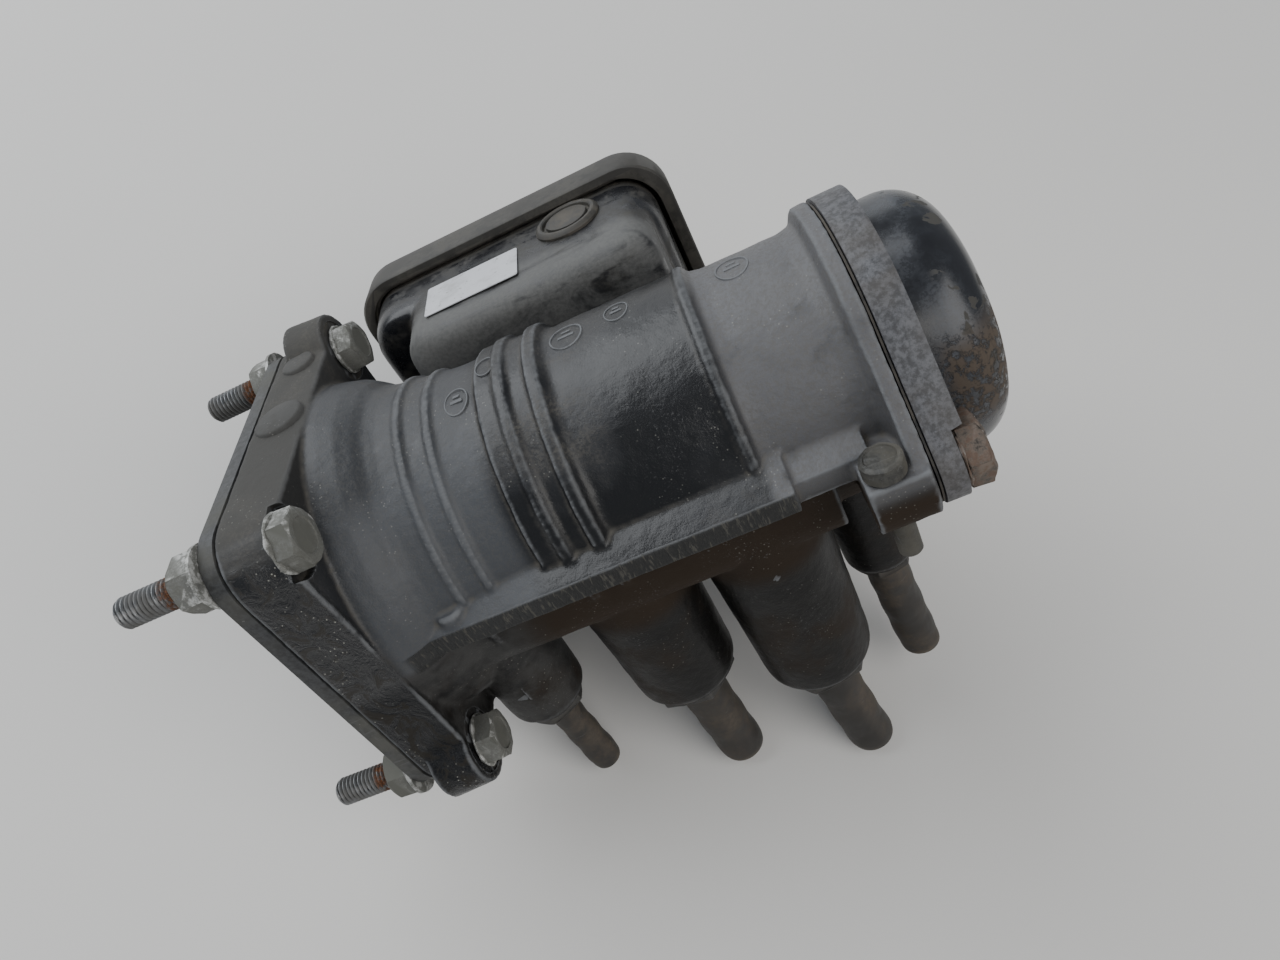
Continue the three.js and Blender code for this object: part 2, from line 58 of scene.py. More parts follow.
# ---- the valve's own frame, from the record ----
def valve_frame():
    """Matrix from the valve's frame (metres) to the row frame."""
    record = frame["record"]
    mounts = {m["name"]: m for m in record["mounts"]}
    along = Vector(record["behaviour"]["joints"][0]["axis"]).normalized()
    up = Vector(mounts["lid_face"]["axis"])
    up = (up - along * up.dot(along)).normalized()
    matrix = Matrix((along, up.cross(along), up)).transposed().to_4x4()
    matrix.translation = Vector(mounts["bracket_studs"]["pos_m"])
    return matrix


VALVE = valve_frame()
INTO_VALVE = VALVE.inverted()


class Span:
    """Lowest and highest corner of a CAD node in the valve's frame, in millimetres."""

    def __init__(self, node):
        points = [INTO_VALVE @ v.co / MM for v in frame["nodes"][node].data.vertices]
        self.low = Vector(min(p[i] for p in points) for i in range(3))
        self.high = Vector(max(p[i] for p in points) for i in range(3))
        self.mid = (self.low + self.high) / 2


# ---- outlines ----
def arc(cu, cv, radius, start, end, count):
    """Points of an arc about (cu, cv), angles in degrees."""
    turns = [math.radians(start + (end - start) * i / count) for i in range(count + 1)]
    return [(cu + radius * math.cos(t), cv + radius * math.sin(t)) for t in turns]


def rounded(u0, u1, v0, v1, radius, count=8):
    """Rectangle with round corners, anticlockwise."""
    return (
        arc(u1 - radius, v0 + radius, radius, -90, 0, count)
        + arc(u1 - radius, v1 - radius, radius, 0, 90, count)
        + arc(u0 + radius, v1 - radius, radius, 90, 180, count)
        + arc(u0 + radius, v0 + radius, radius, 180, 270, count)
    )


def hexagon(corner, turn=0.0):
    return arc(0, 0, corner, turn, turn + 300, 5)


def offset(start, *pairs):
    """Points of a profile, each (distance from start, radius)."""
    return [(start + x, radius) for x, radius in pairs]


# ---- solids: (points, faces) in the valve's frame ----
def turned(profile, sides=128):
    """Solid turned about x from (x, radius) pairs, closed flat at both ends."""
    if profile[0][1]:
        profile = [(profile[0][0], 0), *profile]
    if profile[-1][1]:
        profile = [*profile, (profile[-1][0], 0)]
    points, rows = [], []
    for x, r in profile:
        if r < 1e-6:
            rows.append([len(points)])
            points.append((x, 0.0, 0.0))
            continue
        rows.append(range(len(points), len(points) + sides))
        for y, z in arc(0, 0, r, 0, 360 - 360 / sides, sides - 1):
            points.append((x, y, z))
    faces = []
    for a, b in zip(rows, rows[1:]):
        for i in range(sides):
            j = (i + 1) % sides
            if len(a) == 1 and len(b) > 1:
                faces.append((a[0], b[j], b[i]))
            elif len(b) == 1 and len(a) > 1:
                faces.append((a[i], a[j], b[0]))
            elif len(a) > 1:
                faces.append((a[i], a[j], b[j], b[i]))
    return points, faces


def rod(x0, x1, radius, sides):
    """Plain round solid along x."""
    return turned([(x0, radius), (x1, radius)], sides)


def ring(profile, sides=96):
    """Ring turned about x from a closed section of (x, radius) pairs."""
    points, faces = [], []
    for x, r in profile:
        for y, z in arc(0, 0, r, 0, 360 - 360 / sides, sides - 1):
            points.append((x, y, z))
    count = len(profile)
    for k in range(count):
        a, b = k * sides, ((k + 1) % count) * sides
        for i in range(sides):
            j = (i + 1) % sides
            faces.append((a + i, a + j, b + j, b + i))
    return points, faces


def prism(outline, x0, x1):
    """Solid with an outline in (y, z), from x0 to x1."""
    count = len(outline)
    points = [(x0, y, z) for y, z in outline] + [(x1, y, z) for y, z in outline]
    faces = [tuple(reversed(range(count))), tuple(range(count, 2 * count))]
    for i in range(count):
        j = (i + 1) % count
        faces.append((i, j, count + j, count + i))
    return points, faces


def loft(outlines):
    """Solid through outlines of equal length: a list of (x, [(y, z), ...])."""
    count = len(outlines[0][1])
    points = [(x, y, z) for x, outline in outlines for y, z in outline]
    last = (len(outlines) - 1) * count
    faces = [tuple(reversed(range(count))), tuple(range(last, last + count))]
    for k in range(len(outlines) - 1):
        for i in range(count):
            j = (i + 1) % count
            a, b = k * count, (k + 1) * count
            faces.append((a + i, a + j, b + j, b + i))
    return points, faces


def block(x0, x1, y0, y1, z0, z1):
    return prism([(y0, z0), (y1, z0), (y1, z1), (y0, z1)], x0, x1)


def about_y(solid):
    """Turns a solid made along x so that it runs along y: its outline's (y, z) becomes (z, x)."""
    points, faces = solid
    return [(z, x, y) for x, y, z in points], faces


def along_z(solid):
    """Turns a solid made along x so that it runs along z: its outline's (y, z) becomes (x, y)."""
    points, faces = solid
    return [(y, z, x) for x, y, z in points], faces


def moved(solid, x=0.0, y=0.0, z=0.0):
    points, faces = solid
    return [(px + x, py + y, pz + z) for px, py, pz in points], faces


def upright(solid, x, z):
    """Stands a solid made along x on y, at (x, z)."""
    return moved(about_y(solid), x, 0, z)


# ---- objects ----
def linked(name, data):
    obj = bpy.data.objects.new(name, data)
    bpy.context.scene.collection.objects.link(obj)
    return obj


def mesh_object(name, bm):
    """Object with the mesh that was built in bm."""
    mesh = bpy.data.meshes.new(name)
    bm.to_mesh(mesh)
    bm.free()
    return linked(name, mesh)


def solid_object(name, *solids):
    """One object holding the solids, in the valve's frame, in metres."""
    bm = bmesh.new()
    for points, faces in solids:
        verts = [bm.verts.new(Vector(p) * MM) for p in points]
        for face in faces:
            bm.faces.new([verts[i] for i in face])
    bmesh.ops.recalc_face_normals(bm, faces=bm.faces)
    return mesh_object(name, bm)


def apply_modifiers(obj):
    graph = bpy.context.evaluated_depsgraph_get()
    mesh = bpy.data.meshes.new_from_object(obj.evaluated_get(graph))
    obj.modifiers.clear()
    obj.data = mesh
    return obj


def remeshed(obj, voxel, rounds):
    """Fuses an object's solids and rounds their joins as a casting's are."""
    fuse = obj.modifiers.new("fuse", "REMESH")
    fuse.mode = "VOXEL"
    fuse.voxel_size = voxel * MM
    soften = obj.modifiers.new("soften", "SMOOTH")
    soften.factor = 0.5
    soften.iterations = rounds
    return apply_modifiers(obj)


def combined(obj, operation, *solids):
    """Cuts the solids from an object, or keeps what they share with it."""
    for solid in solids:
        tool = solid_object("tool", solid)
        modifier = obj.modifiers.new("combine", "BOOLEAN")
        modifier.operation = operation
        modifier.solver = "MANIFOLD"
        modifier.object = tool
        apply_modifiers(obj)
        bpy.data.objects.remove(tool)
    return obj


def bevelled(obj, width, segments=3, angle=35.0):
    bevel = obj.modifiers.new("bevel", "BEVEL")
    bevel.width = width * MM
    bevel.segments = segments
    bevel.limit_method = "ANGLE"
    bevel.angle_limit = math.radians(angle)
    bevel.use_clamp_overlap = True
    return apply_modifiers(obj)


def finished(obj, slot, *nodes, body="body", material=None, sharp=38.0):
    """Shades the object, puts it in the row frame and lets it stand for its CAD nodes."""
    obj.data.shade_smooth()
    obj.data.set_sharp_from_angle(angle=math.radians(sharp))
    obj.data.materials.clear()
    obj.data.materials.append(material or finish[slot])
    obj.data.transform(VALVE)
    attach(obj, body)
    if nodes:
        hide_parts(*nodes)
    return obj


def added(obj, *solids):
    """Adds solids to an object without fusing them."""
    extra = solid_object("extra", *solids)
    bm = bmesh.new()
    bm.from_mesh(obj.data)
    bm.from_mesh(extra.data)
    bm.to_mesh(obj.data)
    bm.free()
    bpy.data.objects.remove(extra)
    return obj


def roughened(obj, amount, size, seed=0.0):
    """Moves vertices along their normals by smooth noise: amount and size in millimetres."""
    shift = Vector((seed, seed * 1.7, -seed))
    normals = [v.normal.copy() for v in obj.data.vertices]
    for v, normal in zip(obj.data.vertices, normals):
        v.co += normal * noise.noise(v.co / (size * MM) + shift) * amount * MM
    return obj


# ---- materials ----
class Nodes:
    """A node material being written; its textures are placed in the valve's frame."""

    def __init__(self, name):
        self.material = bpy.data.materials.new(name)
        self.material.use_nodes = True
        self.tree = self.material.node_tree
        self.tree.nodes.clear()
        self.shader = self.node("ShaderNodeBsdfPrincipled")
        out = self.node("ShaderNodeOutputMaterial")
        self.link(self.shader.outputs[0], out.inputs[0])
        into = self.node("ShaderNodeMapping", vector_type="POINT")
        self.fill(into, Vector=self.node("ShaderNodeTexCoord").outputs["Object"],
                  Location=tuple(INTO_VALVE.translation), Rotation=tuple(INTO_VALVE.to_euler("XYZ")))
        self.place = into.outputs[0]
        self.axes = self.node("ShaderNodeSeparateXYZ")
        self.link(self.place, self.axes.inputs[0])

    def node(self, kind, **settings):
        made = self.tree.nodes.new(kind)
        for key, value in settings.items():
            setattr(made, key, value)
        return made

    def link(self, source, target):
        self.tree.links.new(source, target)

    def feed(self, target, value):
        if isinstance(value, (int, float, tuple, list)):
            target.default_value = value
        else:
            self.link(value, target)

    def fill(self, made, **values):
        for key, value in values.items():
            self.feed(made.inputs[key.replace("_", " ")], value)

    def stretched(self, size, stretch, lean=0.0):
        """Place in a texture whose features are about size millimetres across."""
        mapping = self.node("ShaderNodeMapping")
        self.fill(mapping, Vector=self.place, Rotation=(0.0, 0.0, math.radians(lean)),
                  Scale=tuple(s / (size * MM) for s in stretch))
        return mapping.outputs[0]

    def noise(self, size, detail=4.0, rough=0.55, stretch=(1, 1, 1), warp=0.0, lean=0.0):
        """Noise with features about size millimetres across, turned about z by lean degrees."""
        made = self.node("ShaderNodeTexNoise")
        self.fill(made, Vector=self.stretched(size, stretch, lean), Scale=1.0, Detail=detail,
                  Roughness=rough, Distortion=warp)
        return made.outputs["Fac"]

    def cells(self, size, feature="F1"):
        made = self.node("ShaderNodeTexVoronoi", feature=feature)
        self.fill(made, Vector=self.stretched(size, (1, 1, 1)), Scale=1.0)
        return made.outputs["Distance"]

    def step(self, value, low, high):
        """0 below low, 1 above high, smooth between; low above high turns it round."""
        made = self.node("ShaderNodeMapRange", interpolation_type="SMOOTHSTEP")
        self.fill(made, Value=value, From_Min=min(low, high), From_Max=max(low, high))
        if low > high:
            self.fill(made, To_Min=1.0, To_Max=0.0)
        return made.outputs[0]

    def zone(self, axis, low, high):
        """Smooth step along an axis of the valve, in millimetres."""
        return self.step(self.axes.outputs["XYZ".index(axis)], low * MM, high * MM)

    def math(self, operation, a, b=0.0):
        made = self.node("ShaderNodeMath", operation=operation, use_clamp=operation != "SUBTRACT")
        self.feed(made.inputs[0], a)
        self.feed(made.inputs[1], b)
        return made.outputs[0]

    def chain(self, operation, result, *values):
        for value in values:
            result = self.math(operation, result, value)
        return result

    def times(self, *values):
        return self.chain("MULTIPLY", *values)

    def most(self, *values):
        return self.chain("MAXIMUM", *values)

    def between(self, kind, socket, factor, a, b):
        made = self.node("ShaderNodeMix", data_type=kind)
        self.feed(made.inputs["Factor"], factor)
        self.feed(made.inputs[socket], a)
        self.feed(made.inputs[socket + 1], b)
        return made

    def mix(self, factor, a, b):
        """Colour a where the factor is 0, colour b where it is 1."""
        return self.between("RGBA", 6, factor, a, b).outputs[2]

    def blend(self, factor, a, b):
        """Number a where the factor is 0, number b where it is 1."""
        return self.between("FLOAT", 2, factor, a, b).outputs[0]

    def paint(self, factor, colour):
        """Lays another colour over the colour so far."""
        self.colour = self.mix(factor, self.colour, colour)

    def dull(self, factor, rough):
        """Lays another roughness over the roughness so far."""
        self.rough = self.blend(factor, self.rough, rough)

    def edges(self, low=0.53, high=0.6):
        """Bright on the object's convex edges."""
        return self.step(self.node("ShaderNodeNewGeometry").outputs["Pointiness"], low, high)

    def hollows(self, low=0.49, high=0.44):
        return self.step(self.node("ShaderNodeNewGeometry").outputs["Pointiness"], low, high)

    def bump(self, *layers):
        """Layers of (height, strength, depth in millimetres)."""
        normal = None
        for height, strength, depth in layers:
            made = self.node("ShaderNodeBump")
            self.fill(made, Strength=strength, Distance=depth * MM, Height=height)
            if normal is not None:
                self.link(normal, made.inputs["Normal"])
            normal = made.outputs[0]
        self.link(normal, self.shader.inputs["Normal"])

    def set(self, **values):
        self.fill(self.shader, **values)
        return self.material


def rgb(r, g, b):
    return (r, g, b, 1.0)


BLACK = rgb(0.012, 0.0125, 0.014)
DUST = rgb(0.105, 0.095, 0.078)
OLIVE = rgb(0.050, 0.048, 0.043)
CHIP = rgb(0.33, 0.33, 0.31)
RUST = rgb(0.12, 0.058, 0.032)


def shade(colour, factor):
    return tuple(c * factor for c in colour[:3]) + (1.0,)


def coated(name, base, dust, dust_colour, gloss, chips, scratches, grain, rub):
    """Dark coated metal: fine grain, dust in patches, scratches, chips and rubbed edges."""
    n = Nodes(name)
    cloud = n.noise(38, 3)
    patch = n.noise(9, 5, 0.6)
    fine = n.noise(0.9, 3, 0.6)
    dusty = n.times(n.step(cloud, 0.36, 0.66), n.step(patch, 0.3, 0.62), dust)
    settled = n.times(n.hollows(), n.step(patch, 0.2, 0.6), min(1.0, dust * 1.6))
    dusty = n.most(dusty, settled)
    rubbed = n.times(n.edges(), n.step(patch, 0.32, 0.6), rub)
    streak = n.noise(1.1, 2, 0.5, stretch=(0.07, 1.0, 1.0), warp=0.6)
    cross = n.noise(1.0, 2, 0.5, stretch=(1.0, 0.12, 0.3), warp=1.2)
    scratch = n.most(n.step(streak, 0.66, 0.71), n.step(cross, 0.68, 0.73))
    scratch = n.times(scratch, n.step(cloud, 0.5, 0.62), scratches)
    speck = n.times(n.step(n.cells(1.5), 0.15, 0.06), n.step(n.noise(7, 3), 0.56, 0.66), chips)
    mottle = n.step(n.noise(1.5, 4, 0.7), 0.36, 0.64)
    n.colour = n.mix(mottle, shade(base, 0.6), shade(base, 1.5))
    n.paint(dusty, dust_colour)
    n.paint(scratch, rgb(0.11, 0.11, 0.105))
    n.paint(rubbed, rgb(0.15, 0.145, 0.13))
    n.paint(speck, CHIP)
    n.rough = n.blend(n.step(patch, 0.2, 0.8), gloss - 0.08, gloss + 0.1)
    n.dull(dusty, 0.9)
    n.dull(n.most(scratch, rubbed), 0.6)
    n.bump((patch, 0.25, 0.25), (fine, grain, 0.12), (n.most(scratch, speck), 0.35, 0.1))
    return n.set(Base_Color=n.colour, Roughness=n.rough, Metallic=0.0, Specular_IOR_Level=0.55)


def casting():
    """The body's coating, with the wear that each side of it has, a painted sheen on the neck, painted
    highlights on the ribs and painted shade on the port side.
    """
    n = Nodes("body coating")
    cloud = n.noise(34, 3)
    patch = n.noise(8, 5, 0.62)
    grit = n.noise(0.95, 4, 0.65)
    fine = n.noise(0.55, 2, 0.6)

    near_side = n.times(n.zone("Z", -46.5, -49.2), n.zone("X", 21.5, 19.5))
    plate_side = n.times(n.zone("Y", -46.5, -49.2), n.zone("X", 21.5, 19.5))
    neck = n.times(n.zone("X", 18, 24), n.zone("X", 64, 58))
    far_end = n.times(n.zone("X", 120.5, 124), n.zone("Y", 8, -2))
    ports = n.zone("Y", 3, 8)
    bosses = n.zone("Y", 26, 34)
    block_end = n.times(ports, n.zone("X", 58, 40))
    sawn = n.times(n.zone("Z", -43.4, -44.6), n.zone("X", 22, 25), n.zone("X", 128, 126))
    sawn = n.times(sawn, n.zone("Y", -1.2, -0.6), n.zone("Y", 6, 5))

    # A deep black coat, dulled on the neck to a blue-grey that is partly a dulled coat and partly a painted
    # sheen, weaker on the upper side, and to plain grey at the far end.
    whole = n.step(cloud, 0.58, 0.42)
    n.colour = n.mix(whole, rgb(0.014, 0.0148, 0.0175), rgb(0.0055, 0.0058, 0.0068))
    dull = n.most(n.times(neck, n.step(patch, 0.1, 0.5)), n.times(far_end, n.step(patch, 0.0, 0.45)))
    dulled_coat_and_sheen = n.times(neck, n.blend(n.zone("Y", -30, -38), 0.8, 0.35))
    n.paint(dulled_coat_and_sheen, rgb(0.074, 0.079, 0.088))
    n.paint(n.times(far_end, n.step(patch, 0.0, 0.5)), rgb(0.108, 0.108, 0.114))
    n.rough = n.blend(whole, 0.4, 0.3)
    n.dull(dull, 0.5)

    olive = n.most(plate_side, n.times(n.zone("X", 21, 19.6), n.zone("Y", -28, -44), 0.5))
    grain = n.step(n.noise(0.9, 3, 0.7), 0.44, 0.6)
    dust = n.times(n.step(cloud, 0.44, 0.7), n.step(patch, 0.34, 0.6), n.blend(grain, 0.15, 0.5))
    dust = n.most(dust, n.times(far_end, grain, 0.35), n.times(neck, grain, 0.16))
    settled = n.times(n.hollows(0.496, 0.45), n.step(patch, 0.22, 0.55), 0.8)
    smears = n.times(n.step(n.noise(22, 4, 0.6), 0.46, 0.66), 0.5)
    clay = n.times(ports, n.blend(n.most(bosses, block_end), 0.85, smears))
    n.paint(n.times(olive, 0.92), OLIVE)
    n.paint(n.most(dust, settled), DUST)
    # Painted shade: the port side, which faces the floor, is laid near-black over the dust painted before it.
    n.paint(n.times(ports, 0.9), rgb(0.009, 0.0085, 0.008))
    n.paint(clay, rgb(0.030, 0.019, 0.011))
    n.paint(n.times(block_end, n.step(patch, 0.3, 0.6), 0.8), rgb(0.050, 0.049, 0.047))
    shine = n.blend(ports, 0.55, 0.22)
    n.dull(n.most(olive, dust, settled, clay), 0.82)

    # The flange's near side is glossy, deeply scratched and speckled with bare spots.
    dent = n.noise(3.2, 5, 0.7, stretch=(0.5, 0.32, 1.0), warp=1.4)
    gouge = n.step(dent, 0.5, 0.62)
    n.paint(near_side, BLACK)
    n.paint(n.times(near_side, gouge, 0.85), rgb(0.030, 0.026, 0.021))
    n.dull(near_side, 0.22)
    n.dull(n.times(near_side, gouge), 0.75)
    specks = n.times(n.step(n.cells(1.3), 0.2, 0.08), n.step(n.noise(11, 3), 0.5, 0.62))
    spots = n.times(specks, n.most(n.times(near_side, 0.9), 0.28))
    n.paint(spots, rgb(0.42, 0.41, 0.36))

    # Fine pale scuffs over the barrel, and rubbed ribs and edges whose blue-grey is partly wear and partly a
    # painted highlight.
    scuff = n.times(n.step(n.noise(0.7, 3, 0.7, warp=0.5), 0.6, 0.68), n.step(n.noise(16, 3), 0.5, 0.64))
    scuff = n.times(scuff, 0.4)
    rubbed = n.times(n.edges(0.506, 0.54), n.step(patch, 0.26, 0.5), n.blend(plate_side, 0.85, 0.12))
    n.paint(scuff, rgb(0.15, 0.15, 0.15))
    n.paint(rubbed, rgb(0.16, 0.165, 0.172))

    # The parting flange was sawn off: pale, dusty and hatched at a slant.
    hatch = n.noise(0.8, 3, 0.6, stretch=(1.0, 0.22, 0.22), warp=0.2, lean=28)
    n.paint(n.times(sawn, 0.9), rgb(0.020, 0.020, 0.019))
    n.paint(n.times(sawn, n.step(hatch, 0.53, 0.66)), rgb(0.070, 0.066, 0.056))
    n.dull(n.most(sawn, rubbed, scuff), 0.8)

    n.bump(
        (patch, 0.14, 0.25),
        (grit, 0.5, 0.16),
        (fine, 0.7, 0.09),
        (n.times(near_side, dent), 0.9, 1.1),
        (n.times(sawn, hatch), 1.0, 0.9),
    )
    return n.set(Base_Color=n.colour, Roughness=n.rough, Specular_IOR_Level=shine)


def dome_coating():
    """Gloss black with a flaked shoulder and a patch of brown dust."""
    n = Nodes("dome coating")
    flake = n.noise(7, 5, 0.6, warp=0.4)
    fine = n.noise(0.8, 3, 0.6)
    peel = n.noise(2.4, 2, 0.5)
    shoulder = n.times(n.zone("X", 172, 176), n.zone("X", 186, 182))
    bare = n.times(shoulder, n.step(flake, 0.6, 0.63))
    soil = n.times(n.step(n.noise(2.6, 6, 0.75), 0.42, 0.52), n.zone("Y", -17, -9), n.zone("Z", -15, -23))
    soil = n.times(soil, n.zone("Y", 14, 5), n.zone("X", 166, 171))
    grain = n.step(n.noise(1.1, 4, 0.7), 0.4, 0.62)
    # A dull film over the dome's side: its blue-grey colour is partly a painted sheen.
    film = n.times(n.step(n.noise(20, 3), 0.34, 0.6), n.blend(grain, 0.35, 0.8), n.zone("X", 182, 174))
    n.colour = n.mix(film, rgb(0.009, 0.0095, 0.012), rgb(0.066, 0.072, 0.084))
    n.paint(bare, rgb(0.05, 0.047, 0.041))
    n.paint(n.times(soil, 0.9), rgb(0.085, 0.062, 0.043))
    n.rough = n.blend(film, 0.2, 0.42)
    n.dull(n.most(bare, soil), 0.85)
    n.bump((peel, 0.12, 0.2), (fine, 0.2, 0.06), (bare, -0.6, 0.15), (soil, 0.8, 0.5))
    return n.set(Base_Color=n.colour, Roughness=n.rough, Specular_IOR_Level=0.6)


def metal(name, base, dirt, dirt_amount, rough_at, rust=0.0, bright=0.4):
    """Plated or turned metal under grime, with bright rubbed edges."""
    n = Nodes(name)
    patch = n.noise(2.6, 6, 0.7)
    cloud = n.noise(14, 3)
    fine = n.noise(0.45, 3, 0.6)
    speckle = n.step(n.noise(0.8, 4, 0.75), 0.36, 0.6)
    grime = n.times(n.step(patch, 0.3, 0.5), n.blend(speckle, 0.7, 1.0), dirt_amount)
    grime = n.most(grime, n.times(n.hollows(), min(1.0, dirt_amount * 1.4)))
    shine = n.times(n.edges(0.52, 0.6), n.step(patch, 0.42, 0.6), bright)
    rusty = n.times(n.step(n.noise(2.6, 5, 0.7), 0.44, 0.6), rust)
    n.colour = n.mix(n.step(cloud, 0.3, 0.7), base, shade(base, 0.72))
    n.paint(grime, dirt)
    n.paint(rusty, RUST)
    n.paint(shine, rgb(0.55, 0.55, 0.53))
    metallic = n.math("SUBTRACT", 0.95, n.most(grime, rusty))
    n.rough = n.blend(n.step(fine, 0.3, 0.7), rough_at - 0.08, rough_at + 0.1)
    n.dull(n.most(grime, rusty), 0.85)
    n.dull(shine, 0.3)
    n.bump((patch, 0.3, 0.2), (fine, 0.35, 0.06), (rusty, 0.5, 0.2))
    return n.set(Base_Color=n.colour, Roughness=n.rough, Metallic=metallic)


def stud_steel():
    """Zinc-plated thread, with an orange rust band beside the nut."""
    n = Nodes("stud steel")
    patch = n.noise(2.2, 5, 0.65)
    fine = n.noise(0.4, 3, 0.6)
    band = n.times(n.zone("X", -13.6, -12.2), n.zone("X", -2, -6), n.step(patch, 0.36, 0.56))
    dull = n.times(n.step(n.noise(6, 4), 0.36, 0.62), 0.65)
    n.colour = n.mix(dull, rgb(0.2, 0.205, 0.21), rgb(0.085, 0.08, 0.07))
    n.paint(n.times(n.hollows(0.495, 0.46), 0.8), rgb(0.05, 0.045, 0.038))
    orange = n.mix(n.step(fine, 0.4, 0.6), rgb(0.17, 0.062, 0.02), rgb(0.06, 0.028, 0.014))
    n.paint(band, orange)
    n.rough = n.blend(n.most(dull, band), 0.32, 0.78)
    n.bump((patch, 0.3, 0.15), (fine, 0.4, 0.05))
    return n.set(Base_Color=n.colour, Roughness=n.rough, Metallic=n.math("SUBTRACT", 0.9, n.most(band, dull)))


def plastic(name, base, dust, dust_colour, gloss, grain=0.35, wave=0.0):
    """Moulded plastic with a fine grain and dust that has settled in its corners."""
    n = Nodes(name)
    cloud = n.noise(30, 4)
    patch = n.noise(6, 5, 0.65)
    fine = n.noise(0.6, 3, 0.6)
    dusty = n.times(n.step(cloud, 0.4, 0.64), n.step(patch, 0.32, 0.6), dust)
    dusty = n.most(dusty, n.times(n.hollows(), n.step(patch, 0.25, 0.55), min(1.0, dust * 1.8)))
    rubbed = n.times(n.edges(0.52, 0.58), n.step(patch, 0.35, 0.6), 0.5)
    hair = n.noise(0.9, 2, 0.5, stretch=(0.12, 1.0, 0.4), warp=1.0)
    hair = n.times(n.step(hair, 0.68, 0.72), n.step(cloud, 0.45, 0.6), 0.4)
    speckle = n.step(n.noise(1.3, 4, 0.7), 0.38, 0.62)
    dusty = n.times(dusty, n.blend(speckle, 0.55, 1.0))
    n.colour = n.mix(dusty, base, dust_colour)
    n.paint(rubbed, rgb(0.14, 0.12, 0.095))
    n.paint(hair, rgb(0.12, 0.12, 0.115))
    n.rough = n.blend(n.step(patch, 0.2, 0.8), gloss - 0.06, gloss + 0.1)
    n.dull(n.most(dusty, rubbed), 0.88)
    layers = [(patch, 0.2, 0.2), (fine, grain, 0.06)]
    if wave:
        layers.insert(0, (n.noise(9, 2), 0.6, wave))
    n.bump(*layers)
    return n.set(Base_Color=n.colour, Roughness=n.rough, Specular_IOR_Level=0.5)


def box_plastic():
    """Gloss black moulding, smeared with pale dust that is thickest below and round the plug."""
    n = Nodes("housing plastic")
    cloud = n.noise(26, 4, 0.6, warp=0.8)
    patch = n.noise(5, 6, 0.7)
    grain = n.step(n.noise(1.1, 4, 0.7), 0.38, 0.62)
    low = n.zone("Z", 52, 44)
    smear = n.noise(13, 5, 0.65, stretch=(0.45, 1.0, 1.0), warp=1.6)
    rim = n.zone("Z", 70, 71)
    dusty = n.times(n.step(cloud, 0.4, 0.62), n.step(patch, 0.34, 0.58), n.blend(grain, 0.4, 0.9))
    smeared = n.times(low, n.step(smear, 0.3, 0.54), n.blend(grain, 0.7, 1.0), 0.95)
    settled = n.times(n.hollows(0.496, 0.46), n.step(patch, 0.25, 0.55), 0.9)
    rubbed = n.times(n.edges(0.52, 0.58), n.step(patch, 0.35, 0.6), 0.5)
    n.colour = n.mix(n.times(rim, 0.8), rgb(0.011, 0.0115, 0.014), rgb(0.036, 0.033, 0.028))
    n.paint(n.times(dusty, 0.8), rgb(0.083, 0.078, 0.066))
    n.paint(settled, rgb(0.11, 0.1, 0.08))
    n.paint(smeared, rgb(0.135, 0.135, 0.13))
    n.paint(rubbed, rgb(0.1, 0.092, 0.078))
    n.rough = n.blend(n.step(patch, 0.2, 0.8), 0.2, 0.34)
    n.dull(n.most(dusty, settled, smeared, n.times(rim, 0.6)), 0.85)
    n.bump((patch, 0.2, 0.2), (n.noise(0.6, 3, 0.6), 0.35, 0.06))
    return n.set(Base_Color=n.colour, Roughness=n.rough, Specular_IOR_Level=0.55)


def label_film():
    """Blank white film with a smudged face and browned edges."""
    n = Nodes("label film")
    smudge = n.step(n.noise(9, 5, 0.6), 0.45, 0.75)
    nick = n.times(n.step(n.noise(2.2, 4, 0.7), 0.62, 0.68), 0.6)
    n.colour = n.mix(smudge, rgb(0.62, 0.63, 0.66), rgb(0.42, 0.42, 0.42))
    n.paint(nick, rgb(0.2, 0.19, 0.17))
    n.bump((n.noise(4, 3), 0.25, 0.1), (n.noise(0.5, 2), 0.2, 0.03))
    return n.set(Base_Color=n.colour, Roughness=n.blend(smudge, 0.28, 0.55))


def board_film():
    n = Nodes("circuit board")
    track = n.step(n.cells(3.0, "DISTANCE_TO_EDGE"), 0.1, 0.06)
    n.colour = n.mix(track, rgb(0.012, 0.09, 0.035), rgb(0.03, 0.16, 0.06))
    n.bump((track, 0.4, 0.05), (n.noise(0.5, 2), 0.1, 0.02))
    return n.set(Base_Color=n.colour, Roughness=n.blend(track, 0.35, 0.28))


def floor_paper():
    n = Nodes("floor")
    soft = n.noise(260, 3)
    fine = n.noise(1.8, 3)
    n.colour = n.mix(soft, rgb(0.68, 0.665, 0.64), rgb(0.74, 0.725, 0.7))
    n.bump((fine, 0.08, 0.1))
    return n.set(Base_Color=n.colour, Roughness=n.blend(fine, 0.8, 0.92))


